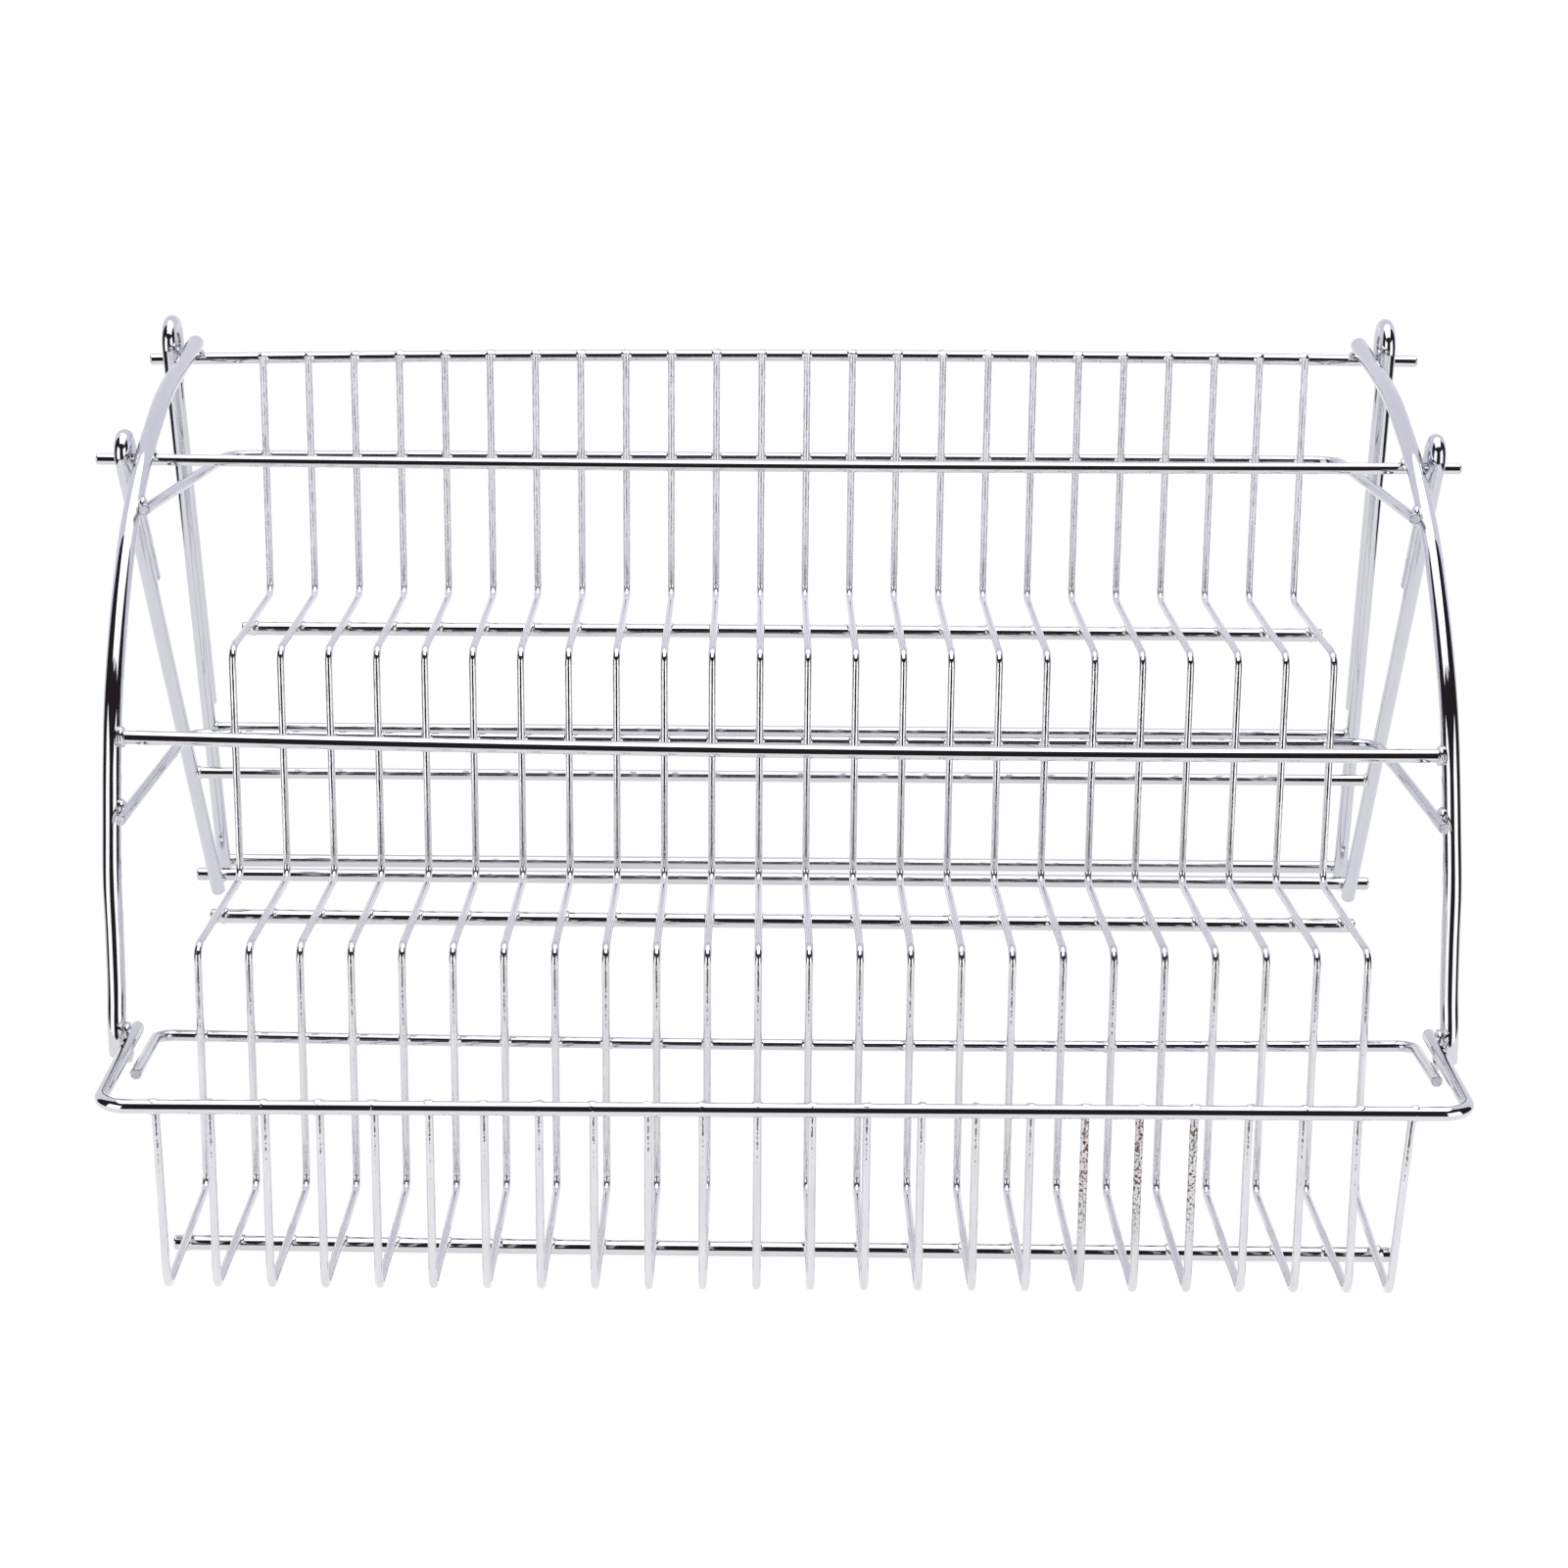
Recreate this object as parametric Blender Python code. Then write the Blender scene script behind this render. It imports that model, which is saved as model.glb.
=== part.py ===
"""Three-tier pull-down wire rack: a stepped basket of welded rods on two swing frames.

Metres, +Z up, the basket's open front towards -Y. The basket's own profile is drawn in its
floor frame (back, up), whose floors are level, and is then leaned back to stand on a table.
Each swing frame is drawn hanging straight down from its hinge, then turned to its rest angle.
"""

import math

import bpy
from mathutils import Matrix, Vector

# Rod radii
TIER_WIRE_RADIUS = 0.0013
CROSS_WIRE_RADIUS = 0.0024
HOOP_RADIUS = 0.00185
TOP_RAIL_RADIUS = 0.0021
UPPER_GUARD_RADIUS = 0.00195
LOWER_GUARD_RADIUS = 0.00225
RIM_RADIUS = 0.0022
SIDE_FRAME_RADIUS = 0.0030
ARM_RADIUS = 0.00265
SWING_BAR_RADIUS = 0.0025
BRACE_RADIUS = 0.0021

# Tier wires across the width, and how far the feet of the outer two stand out of line
TIER_WIRE_COUNT = 24
TIER_WIDTH = 0.3795
FIRST_FOOT_SHIFT = 0.0014
LAST_FOOT_SHIFT = -0.0038

# Basket profile: tier depths, the heights between them and the small slopes of the floors
UPPER_TIER_DEPTH = 0.0900
MIDDLE_TIER_DEPTH = 0.0880
LOWER_TIER_DEPTH = 0.0803
BACK_WALL_HEIGHT = 0.0903
UPPER_STEP_HEIGHT = 0.0818
LOWER_STEP_HEIGHT = 0.0828
FRONT_UPRIGHT_HEIGHT = 0.0595
UPPER_FLOOR_RISE = 0.0012
MIDDLE_FLOOR_FALL = 0.0028
LOWER_FLOOR_RISE = 0.0010
TIER_BEND_RADIUS = 0.0050
CROSS_WIRE_SHARES = (0.557, 0.559, 0.496)
CROSS_WIRE_OVERHANG = 0.0043

# Bent side frames: their path from the top rail down to the rim, as shares of its depth and height
SIDE_FRAME_OUTSET = 0.02255
SIDE_FRAME_OVERHANG = 0.0023
SIDE_FRAME_END_RISE = 0.0005
SIDE_FRAME_FOOT_DROP = 0.0060
SIDE_FRAME_FOOT_SHARE = 0.28
SIDE_FRAME_PATH_SHARES = (
    (1.000, 1.000),
    (0.661, 0.947),
    (0.559, 0.911),
    (0.467, 0.874),
    (0.317, 0.783),
    (0.235, 0.704),
    (0.167, 0.621),
    (0.114, 0.538),
    (0.080, 0.454),
    (0.053, 0.366),
    (0.029, 0.277),
    (0.022, 0.184),
    (0.012, 0.101),
    (0.000, 0.052),
    (0.000, 0.000),
)

# Rails: where the guard rails cross the side frames, as a share of the points of their path
TOP_RAIL_DROP = 0.0020
UPPER_GUARD_SHARE = 0.1964
LOWER_GUARD_SHARE = 0.5462
LOWER_GUARD_INSET = -0.0016

# Hoops: heights as shares of the tiers' walls, tips as shares of the tiers' depths and walls
HOOP_UP_SHARES = (0.565, 0.622, 0.621)
HOOP_TIP_SHARES = ((0.501, 0.044), (0.273, 0.011), (-0.334, 0.075))
HOOP_BACK_INSETS = (0.0030, 0.0003, 0.0040)
HOOP_TIP_INSETS = (0.0, 0.0, 0.0043)
HOOP_BEND_RADII = (0.0090, 0.0090, 0.0060)

# Front rim
RIM_INSET = 0.0001
RIM_RISE = 0.0010
RIM_END_RISE = 0.0020
RIM_END_OVERHANG = 0.0045
RIM_BEND_RADIUS = 0.0085

# Swing frames: their leans at rest and their clearances outside the side frames
FRONT_REST_LEAN = math.radians(25.66)
REAR_REST_LEAN = math.radians(5.08)
FRONT_EYE_SIDE_CLEARANCE = 0.00185
REAR_EYE_SIDE_CLEARANCE = 0.00265
ARM_FOOT_SIDE_CLEARANCE = 0.00305
FRONT_PIN_OVERHANG = 0.00715
REAR_PIN_OVERHANG = 0.00795
SWING_BAR_OVERHANG = 0.00565
FRONT_BAR_LIFT = 0.0023
REAR_BAR_LIFT = 0.0019
FRONT_BRACE_SHARE = 0.688
REAR_BRACE_SHARE = 0.699
FRONT_TAIL_SHARE = 0.255
REAR_TAIL_SHARE = 0.660

# Eyes round the pins
FRONT_EYE_CLEARANCE = 0.0004
FRONT_EYE_RISE = 0.0034
FRONT_EYE_SHIFT = 0.0
REAR_EYE_CLEARANCE = 0.00255
REAR_EYE_RISE = 0.0068
REAR_EYE_SHIFT = -0.0012
EYE_NECK_CLEARANCE = 0.0015
EYE_NECK_SHARES = ((0.93, -0.25), (0.72, -0.66), (0.30, -1.02), (-0.02, -1.45))

# How the rack leans, how far its rods are out of square, and the gap that stands for a weld
LEAN = math.radians(10.0)
RACKING_SHARE = -0.0135
RACKING_LEVEL = 0.0750
HINGE_SHIFT = -0.0018
SWING_SKEW_SHARE = 0.0158
WELD_GAP = 0.0003
BEND_STEPS = 3
EYE_STEPS = 8
THIN_SIDES = 2
THICK_SIDES = 3
CHROME = (0.78, 0.79, 0.80, 1.0)


def chrome(name):
    """A chrome-plated steel material of its own for one piece."""
    material = bpy.data.materials.new(name + "_chrome")
    material.use_nodes = True
    shader = material.node_tree.nodes["Principled BSDF"]
    shader.inputs["Base Color"].default_value = CHROME
    shader.inputs["Metallic"].default_value = 1.0
    shader.inputs["Roughness"].default_value = 0.12
    material.diffuse_color = CHROME
    return material


def rod(name, path, radius, sides=THICK_SIDES, parent=None):
    """One solid rod along a path of points, with flat cut ends."""
    data = bpy.data.curves.new(name, "CURVE")
    data.dimensions = "3D"
    data.bevel_depth = radius
    data.bevel_resolution = sides
    data.use_fill_caps = True
    spline = data.splines.new("POLY")
    spline.points.add(len(path) - 1)
    for point, at in zip(spline.points, path):
        point.co = (*at, 1.0)
    spline.use_smooth = True
    data.materials.append(chrome(name))
    piece = bpy.data.objects.new(name, data)
    rack.objects.link(piece)
    piece.parent = parent
    return piece


def bent(corners, radius, steps=BEND_STEPS):
    """The path through these corners with each inner one rounded to the bend radius."""
    corners = [Vector(corner) for corner in corners]
    path = [corners[0]]
    for before, corner, after in zip(corners, corners[1:], corners[2:]):
        into = (before - corner).normalized()
        out = (after - corner).normalized()
        half_angle = into.angle(out) / 2
        cut = min(radius / math.tan(half_angle), into.dot(before - corner) / 2, out.dot(after - corner) / 2)
        bend_radius = cut * math.tan(half_angle)
        centre = corner + (into + out).normalized() * bend_radius / math.sin(half_angle)
        start = corner + into * cut - centre
        end = corner + out * cut - centre
        sweep = start.angle(end)
        for step in range(steps + 1):
            share = step / steps
            weight_start = math.sin((1 - share) * sweep) / math.sin(sweep)
            weight_end = math.sin(share * sweep) / math.sin(sweep)
            path.append(centre + start * weight_start + end * weight_end)
    path.append(corners[-1])
    return path


def leaned(x, at):
    """A point of the basket's floor frame, with the basket leaned back."""
    turned = Matrix.Rotation(-LEAN, 2) @ Vector(at)
    return Vector((x, turned.x, turned.y))


def racked(x, at):
    """The same for an outer rod: these sit a little to one side, by their height."""
    return leaned(x + (at[1] - RACKING_LEVEL) * RACKING_SHARE, at)


def across(name, at, half, radius, place=racked):
    """A straight rod across the basket."""
    return rod(name, [place(-half, at), place(half, at)], radius)


for old in list(bpy.data.objects):
    bpy.data.objects.remove(old, do_unlink=True)
rack = bpy.data.collections.new("pull_down_spice_rack")
bpy.context.scene.collection.children.link(rack)

# Corners of a tier wire in the floor frame, from its top end to its front end
step_back = 0.0
wall_back = step_back + MIDDLE_TIER_DEPTH
back_wall = wall_back + UPPER_TIER_DEPTH
front_back = step_back - LOWER_TIER_DEPTH
lower_front_up = -LOWER_FLOOR_RISE
middle_back_up = LOWER_STEP_HEIGHT - MIDDLE_FLOOR_FALL
upper_front_up = middle_back_up + UPPER_STEP_HEIGHT
upper_back_up = upper_front_up + UPPER_FLOOR_RISE
wire_top_up = upper_back_up + BACK_WALL_HEIGHT
upright_top_up = lower_front_up + FRONT_UPRIGHT_HEIGHT
wire_profile = (
    (back_wall, wire_top_up),
    (back_wall, upper_back_up),
    (wall_back, upper_front_up),
    (wall_back, middle_back_up),
    (step_back, LOWER_STEP_HEIGHT),
    (step_back, 0.0),
    (front_back, lower_front_up),
    (front_back, upright_top_up),
)
foot_corner = len(wire_profile) - 2

# Tier wires
tier_half = TIER_WIDTH / 2
last_wire = TIER_WIRE_COUNT - 1
foot_shifts = {0: FIRST_FOOT_SHIFT, last_wire: LAST_FOOT_SHIFT}
for number in range(TIER_WIRE_COUNT):
    x = TIER_WIDTH * number / last_wire - tier_half
    corners = [leaned(x, at) for at in wire_profile]
    corners[foot_corner].x += foot_shifts.get(number, 0.0)
    rod(f"tier_wire_{number + 1:02d}", bent(corners, TIER_BEND_RADIUS), TIER_WIRE_RADIUS, THIN_SIDES)

# Cross wires under the three floors
under_floor = TIER_WIRE_RADIUS + CROSS_WIRE_RADIUS + WELD_GAP
floors = (
    ("upper", wall_back, upper_front_up, back_wall, upper_back_up),
    ("middle", step_back, LOWER_STEP_HEIGHT, wall_back, middle_back_up),
    ("lower", front_back, lower_front_up, step_back, 0.0),
)
for (tier, front, front_up, rear, rear_up), share in zip(floors, CROSS_WIRE_SHARES):
    at = (front + (rear - front) * share, front_up + (rear_up - front_up) * share - under_floor)
    across(f"{tier}_cross_wire", at, tier_half + CROSS_WIRE_OVERHANG, CROSS_WIRE_RADIUS, leaned)

# Front rim's height and the side frames' path, which runs from above the top rail to the rim
rim_front = (front_back - TIER_WIRE_RADIUS - RIM_RADIUS - WELD_GAP, upright_top_up + RIM_RISE)
top_rail_at = (back_wall + TIER_WIRE_RADIUS + TOP_RAIL_RADIUS + WELD_GAP, wire_top_up - TOP_RAIL_DROP)
foot_back = step_back - LOWER_TIER_DEPTH * SIDE_FRAME_FOOT_SHARE
foot_up = rim_front[1] - SIDE_FRAME_FOOT_DROP
frame_depth = top_rail_at[0] + SIDE_FRAME_OVERHANG - foot_back
frame_top_up = top_rail_at[1] + TOP_RAIL_RADIUS + SIDE_FRAME_RADIUS + WELD_GAP + SIDE_FRAME_END_RISE
frame_height = frame_top_up - foot_up
side_frame_path = [
    Vector((foot_back + frame_depth * back_share, foot_up + frame_height * up_share))
    for back_share, up_share in SIDE_FRAME_PATH_SHARES
]
side_frame_half = tier_half + SIDE_FRAME_OUTSET
frame_inside = side_frame_half - SIDE_FRAME_RADIUS - WELD_GAP
frame_outside = side_frame_half + SIDE_FRAME_RADIUS
for side, x in (("left", -side_frame_half), ("right", side_frame_half)):
    rod(f"side_frame_{side}", [racked(x, at) for at in side_frame_path], SIDE_FRAME_RADIUS)


def by_side_frame(share, inset):
    """A point at this share along the side frame's path, moved in behind it by the inset."""
    corner, past_corner = divmod(share * (len(side_frame_path) - 1), 1)
    start, end = side_frame_path[int(corner)], side_frame_path[int(corner) + 1]
    run = (end - start).normalized()
    return start.lerp(end, past_corner) + Vector((-run.y, run.x)) * inset


# Rails: the top rail and the upper guard rail end in the hinge pins
front_eye_half = frame_outside + FRONT_EYE_SIDE_CLEARANCE + ARM_RADIUS
rear_eye_half = frame_outside + REAR_EYE_SIDE_CLEARANCE + ARM_RADIUS
under_frame = SIDE_FRAME_RADIUS + UPPER_GUARD_RADIUS + WELD_GAP
upper_guard_at = by_side_frame(UPPER_GUARD_SHARE, under_frame)
lower_guard_at = by_side_frame(LOWER_GUARD_SHARE, LOWER_GUARD_INSET)
across("top_rail", top_rail_at, rear_eye_half + ARM_RADIUS + REAR_PIN_OVERHANG, TOP_RAIL_RADIUS, leaned)
across("upper_guard_rail", upper_guard_at, front_eye_half + ARM_RADIUS + FRONT_PIN_OVERHANG, UPPER_GUARD_RADIUS)
across("lower_guard_rail", lower_guard_at, frame_inside, LOWER_GUARD_RADIUS)

# Hoops behind the walls of the three tiers, with cut ends towards the front
hoop_outside = frame_inside - HOOP_RADIUS
behind_wires = TIER_WIRE_RADIUS + HOOP_RADIUS + WELD_GAP
wall_tops = (wire_top_up, upper_front_up, LOWER_STEP_HEIGHT)
hoops = zip(
    floors, wall_tops, HOOP_UP_SHARES, HOOP_TIP_SHARES, HOOP_BACK_INSETS, HOOP_TIP_INSETS, HOOP_BEND_RADII
)
for floor, wall_top, up_share, (reach_share, rise_share), back_inset, tip_inset, bend_radius in hoops:
    tier, front, front_up, rear, rear_up = floor
    wall_height = wall_top - rear_up
    up = rear_up + wall_height * up_share
    tip = (front - (rear - front) * reach_share, up + wall_height * rise_share)
    corners = [
        racked(tip_inset - hoop_outside, tip),
        leaned(back_inset - hoop_outside, (rear + behind_wires, up)),
        leaned(hoop_outside - back_inset, (rear + behind_wires, up)),
        racked(hoop_outside - tip_inset, tip),
    ]
    rod(f"{tier}_tier_hoop", bent(corners, bend_radius), HOOP_RADIUS)

# Front rim, bent back at both ends to the side frames
rim_half = frame_inside - RIM_RADIUS - RIM_INSET
rim_end = (foot_back + RIM_END_OVERHANG, rim_front[1] + RIM_END_RISE)
rim_corners = [
    racked(-rim_half, rim_end),
    racked(-rim_half, rim_front),
    racked(rim_half, rim_front),
    racked(rim_half, rim_end),
]
rod("front_rim", bent(rim_corners, RIM_BEND_RADIUS), RIM_RADIUS)

# The table's height under the leaned basket: the lowest point of the bends at the lowest floor
bend_centre = leaned(0.0, (step_back - TIER_BEND_RADIUS, TIER_BEND_RADIUS))
table = bend_centre.z - TIER_BEND_RADIUS - TIER_WIRE_RADIUS


def swing_frame(name, pivot, pin_radius, rest, eye_half, eye_clearance, eye_rise, eye_shift, bar_lift, shares):
    """Two arms with eyes round the pins, a brace between them and a bottom bar behind them."""
    brace_share, tail_share = shares
    eye_radius = pin_radius + eye_clearance + ARM_RADIUS
    arm_back = eye_shift - eye_radius
    tail_back = arm_back + ARM_RADIUS + ARM_RADIUS + WELD_GAP
    # At the rest angle the front edge of the arms' cut ends is on the table
    front_edge = ARM_RADIUS - arm_back
    reach = (pivot.z - table - front_edge * math.sin(rest)) / math.cos(rest)
    hinge = bpy.data.objects.new(name + "_hinge", None)
    rack.objects.link(hinge)
    hinge.location = pivot
    hinge.rotation_euler = (rest, 0.0, 0.0)
    eye_path = [(arm_back, -reach), (arm_back, eye_rise)]
    for step in range(1, EYE_STEPS + 1):
        angle = math.pi * (1 - step / EYE_STEPS)
        eye_path.append((eye_shift + eye_radius * math.cos(angle), eye_rise + eye_radius * math.sin(angle)))
    neck_drop = pin_radius + ARM_RADIUS + EYE_NECK_CLEARANCE
    for out_share, down_share in EYE_NECK_SHARES:
        neck_back = tail_back + (eye_shift + eye_radius - tail_back) * out_share
        eye_path.append((neck_back, neck_drop * down_share))
    eye_path.append((tail_back, -reach * tail_share))
    foot_half = frame_outside + ARM_FOOT_SIDE_CLEARANCE + ARM_RADIUS

    def hung(half, back, up):
        """A point of the frame, which is a little out of square too."""
        return Vector((half + HINGE_SHIFT - up * SWING_SKEW_SHARE, back, up))

    def arm_half(up):
        return eye_half + (foot_half - eye_half) * -up / reach

    for side, sign in (("left", -1), ("right", 1)):
        path = [hung(sign * arm_half(up), back, up) for back, up in eye_path]
        rod(f"{name}_arm_{side}", path, ARM_RADIUS, parent=hinge)
    brace_up = -reach * brace_share
    brace_half = arm_half(brace_up) - ARM_RADIUS - WELD_GAP
    brace = [hung(half, arm_back, brace_up) for half in (-brace_half, brace_half)]
    rod(f"{name}_brace", brace, BRACE_RADIUS, parent=hinge)
    bar_back = arm_back + ARM_RADIUS + SWING_BAR_RADIUS + WELD_GAP
    bar_half = foot_half + ARM_RADIUS + SWING_BAR_OVERHANG
    bar = [hung(half, bar_back, bar_lift - reach) for half in (-bar_half, bar_half)]
    rod(f"{name}_bottom_bar", bar, SWING_BAR_RADIUS, parent=hinge)


# Swing frames, each with its origin on its hinge
swing_frame(
    "front_swing",
    leaned(0.0, upper_guard_at),
    UPPER_GUARD_RADIUS,
    FRONT_REST_LEAN,
    front_eye_half,
    FRONT_EYE_CLEARANCE,
    FRONT_EYE_RISE,
    FRONT_EYE_SHIFT,
    FRONT_BAR_LIFT,
    (FRONT_BRACE_SHARE, FRONT_TAIL_SHARE),
)
swing_frame(
    "rear_swing",
    leaned(0.0, top_rail_at),
    TOP_RAIL_RADIUS,
    REAR_REST_LEAN,
    rear_eye_half,
    REAR_EYE_CLEARANCE,
    REAR_EYE_RISE,
    REAR_EYE_SHIFT,
    REAR_BAR_LIFT,
    (REAR_BRACE_SHARE, REAR_TAIL_SHARE),
)

# Stand the whole on z = 0 with its box centred on the origin
bpy.context.view_layer.update()
depsgraph = bpy.context.evaluated_depsgraph_get()
points = []
for piece in rack.objects:
    if piece.type == "CURVE":
        shown = piece.evaluated_get(depsgraph)
        points += [piece.matrix_world @ vertex.co for vertex in shown.to_mesh().vertices]
        shown.to_mesh_clear()
middles = [(min(axis) + max(axis)) / 2 for axis in zip(*points)]
centring = Vector((-middles[0], -middles[1], -table))
for piece in rack.objects:
    if piece.parent is None:
        piece.location += centring
bpy.context.view_layer.update()
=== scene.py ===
"""Pull-down spice rack in bright chrome plate: three stepped tiers of welded wire on two swing frames.

Metres, +Z up, the open front towards -Y. The basket is drawn in its floor frame (back, up), whose
floors are level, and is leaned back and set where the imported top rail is. Each swing frame is drawn
hanging straight down from its hinge and turned to its rest angle. The rods are welded by hand, so
some are set a little off straight and level, and small beads of weld metal join them.
"""

import itertools
import math

import bmesh
import bpy
from mathutils import Matrix, Vector, geometry, noise


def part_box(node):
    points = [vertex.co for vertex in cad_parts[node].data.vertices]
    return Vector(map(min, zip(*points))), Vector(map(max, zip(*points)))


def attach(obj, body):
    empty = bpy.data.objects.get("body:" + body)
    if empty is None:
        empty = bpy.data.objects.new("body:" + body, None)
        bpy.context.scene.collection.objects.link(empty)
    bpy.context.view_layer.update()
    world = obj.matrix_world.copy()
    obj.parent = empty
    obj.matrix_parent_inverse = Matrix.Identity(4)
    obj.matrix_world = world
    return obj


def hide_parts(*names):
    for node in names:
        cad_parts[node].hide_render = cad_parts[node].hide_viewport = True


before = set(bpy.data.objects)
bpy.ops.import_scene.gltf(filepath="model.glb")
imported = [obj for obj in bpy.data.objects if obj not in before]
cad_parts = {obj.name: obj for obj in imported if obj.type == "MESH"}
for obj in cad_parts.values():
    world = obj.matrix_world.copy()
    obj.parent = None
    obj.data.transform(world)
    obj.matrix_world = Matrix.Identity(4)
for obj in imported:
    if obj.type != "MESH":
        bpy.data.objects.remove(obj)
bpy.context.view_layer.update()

MM = 0.001

# Rod radii
TIER_WIRE_RADIUS = 1.3 * MM
CROSS_WIRE_RADIUS = 2.4 * MM
HOOP_RADIUS = 1.85 * MM
TOP_RAIL_RADIUS = 2.1 * MM
UPPER_GUARD_RADIUS = 1.95 * MM
LOWER_GUARD_RADIUS = 2.25 * MM
RIM_RADIUS = 2.2 * MM
SIDE_FRAME_RADIUS = 3.0 * MM
ARM_RADIUS = 2.65 * MM
SWING_BAR_RADIUS = 2.5 * MM
BRACE_RADIUS = 2.1 * MM

# Tier wires across the width, and how far the feet of the outer two stand out of line
TIER_WIRE_COUNT = 24
TIER_WIDTH = 379.5 * MM
FIRST_FOOT_SHIFT = 1.4 * MM
LAST_FOOT_SHIFT = -3.8 * MM

# Basket profile: tier depths, the heights between them and the small slopes of the floors
UPPER_TIER_DEPTH = 90.0 * MM
MIDDLE_TIER_DEPTH = 88.0 * MM
LOWER_TIER_DEPTH = 80.3 * MM
BACK_WALL_HEIGHT = 90.3 * MM
UPPER_STEP_HEIGHT = 81.8 * MM
LOWER_STEP_HEIGHT = 82.8 * MM
FRONT_UPRIGHT_HEIGHT = 59.5 * MM
UPPER_FLOOR_RISE = 1.2 * MM
MIDDLE_FLOOR_FALL = 2.8 * MM
LOWER_FLOOR_RISE = 1.0 * MM
TIER_BEND_RADIUS = 5.0 * MM
CROSS_WIRE_SHARES = (0.557, 0.559, 0.496)
CROSS_WIRE_OVERHANG = 4.3 * MM

# Bent side frames: their path from the top rail down to the rim, as shares of its depth and height
SIDE_FRAME_OUTSET = 22.55 * MM
SIDE_FRAME_OVERHANG = 2.3 * MM
SIDE_FRAME_END_RISE = 0.5 * MM
SIDE_FRAME_FOOT_DROP = 6.0 * MM
SIDE_FRAME_FOOT_SHARE = 0.28
SIDE_FRAME_PATH_SHARES = (
    (1.000, 1.000),
    (0.661, 0.947),
    (0.559, 0.911),
    (0.467, 0.874),
    (0.317, 0.783),
    (0.235, 0.704),
    (0.167, 0.621),
    (0.114, 0.538),
    (0.080, 0.454),
    (0.053, 0.366),
    (0.029, 0.277),
    (0.022, 0.184),
    (0.012, 0.101),
    (0.000, 0.052),
    (0.000, 0.000),
)

# Rails: where the guard rails cross the side frames, as a share of the points of their path
TOP_RAIL_DROP = 2.0 * MM
UPPER_GUARD_SHARE = 0.1964
LOWER_GUARD_SHARE = 0.5462
LOWER_GUARD_INSET = -1.6 * MM

# Hoops: heights as shares of the tiers' walls, tips as shares of the tiers' depths and walls
HOOP_UP_SHARES = (0.565, 0.622, 0.621)
HOOP_TIP_SHARES = ((0.501, 0.044), (0.273, 0.011), (-0.365, 0.075))
HOOP_BACK_INSETS = ((3.0 * MM, 3.0 * MM), (0.3 * MM, 0.3 * MM), (2.6 * MM, 0.2 * MM))
HOOP_TIP_INSETS = ((0.0, 0.0), (0.0, 0.0), (5.8 * MM, 4.3 * MM))
HOOP_BEND_RADII = (9.0 * MM, 9.0 * MM, 6.0 * MM)

# Front rim
RIM_INSET = 0.1 * MM
RIM_RISE = 1.0 * MM
RIM_END_RISE = 2.0 * MM
RIM_END_OVERHANG = 4.5 * MM
RIM_BEND_RADIUS = 8.5 * MM

# Swing frames: their leans at rest and their clearances outside the side frames
FRONT_REST_LEAN = math.radians(25.66)
REAR_REST_LEAN = math.radians(5.08)
FRONT_EYE_SIDE_CLEARANCE = 1.85 * MM
REAR_EYE_SIDE_CLEARANCE = 2.65 * MM
ARM_FOOT_SIDE_CLEARANCE = 3.05 * MM
FRONT_PIN_OVERHANG = 7.15 * MM
REAR_PIN_OVERHANG = 7.95 * MM
SWING_BAR_OVERHANG = 5.65 * MM
FRONT_BAR_LIFT = 2.3 * MM
REAR_BAR_LIFT = 1.9 * MM
FRONT_BRACE_SHARE = 0.688
REAR_BRACE_SHARE = 0.699
FRONT_TAIL_SHARE = 0.255
REAR_TAIL_SHARE = 0.660

# Eyes round the pins
FRONT_EYE_CLEARANCE = 0.4 * MM
FRONT_EYE_RISE = 3.4 * MM
FRONT_EYE_SHIFT = 0.0
REAR_EYE_CLEARANCE = 2.55 * MM
REAR_EYE_RISE = 6.8 * MM
REAR_EYE_SHIFT = -1.2 * MM
EYE_NECK_CLEARANCE = 1.5 * MM
EYE_NECK_SHARES = ((0.93, -0.25), (0.72, -0.66), (0.30, -1.02), (-0.02, -1.45))

# How the rack leans, how far its rods are out of square, and the gap that a weld fills
LEAN = math.radians(10.0)
RACKING_SHARE = -0.0135
RACKING_LEVEL = 75.0 * MM
HINGE_SHIFT = -1.8 * MM
SWING_SKEW_SHARE = 0.0158
WELD_GAP = 0.3 * MM

# How far the hand-welded rods are from straight and level: left end, middle and right end
STRAIGHT = (0.0, 0.0, 0.0)
TOP_RAIL_SET = (-2.3 * MM, 0.9 * MM, 0.5 * MM)
UPPER_GUARD_SET = (0.0, -0.7 * MM, 0.2 * MM)
LOWER_GUARD_SET = (1.1 * MM, -2.0 * MM, -2.1 * MM)
CROSS_WIRE_SETS = (
    (-0.7 * MM, 0.8 * MM, 0.6 * MM),
    (2.2 * MM, 0.1 * MM, -0.8 * MM),
    (4.0 * MM, 0.9 * MM, -0.9 * MM),
)
HOOP_SETS = (
    (0.0, 0.7 * MM, 0.9 * MM),
    (0.0, -1.2 * MM, -0.7 * MM),
    (0.0, -2.2 * MM, -1.3 * MM),
)
FRONT_BAR_SET = (1.1 * MM, 0.3 * MM, -0.3 * MM)

# How much lower the tier wires' tops are, and how much higher the side frames' tops and the swing
# frames' eyes are, left and right. A side frame is off from a share of its height upwards only, and
# an eye is also stretched
WIRE_TOP_DROP = 1.2 * MM
SIDE_FRAME_TOP_SETS = (-2.0 * MM, 0.4 * MM)
SIDE_FRAME_SET_SHARE = 0.70
FRONT_EYE_LIFTS = (0.0, 0.6 * MM)
FRONT_EYE_STRETCHES = (0.0, 0.25)
REAR_EYE_LIFTS = (-2.1 * MM, 0.0)
UNSTRETCHED = (0.0, 0.0)

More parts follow.
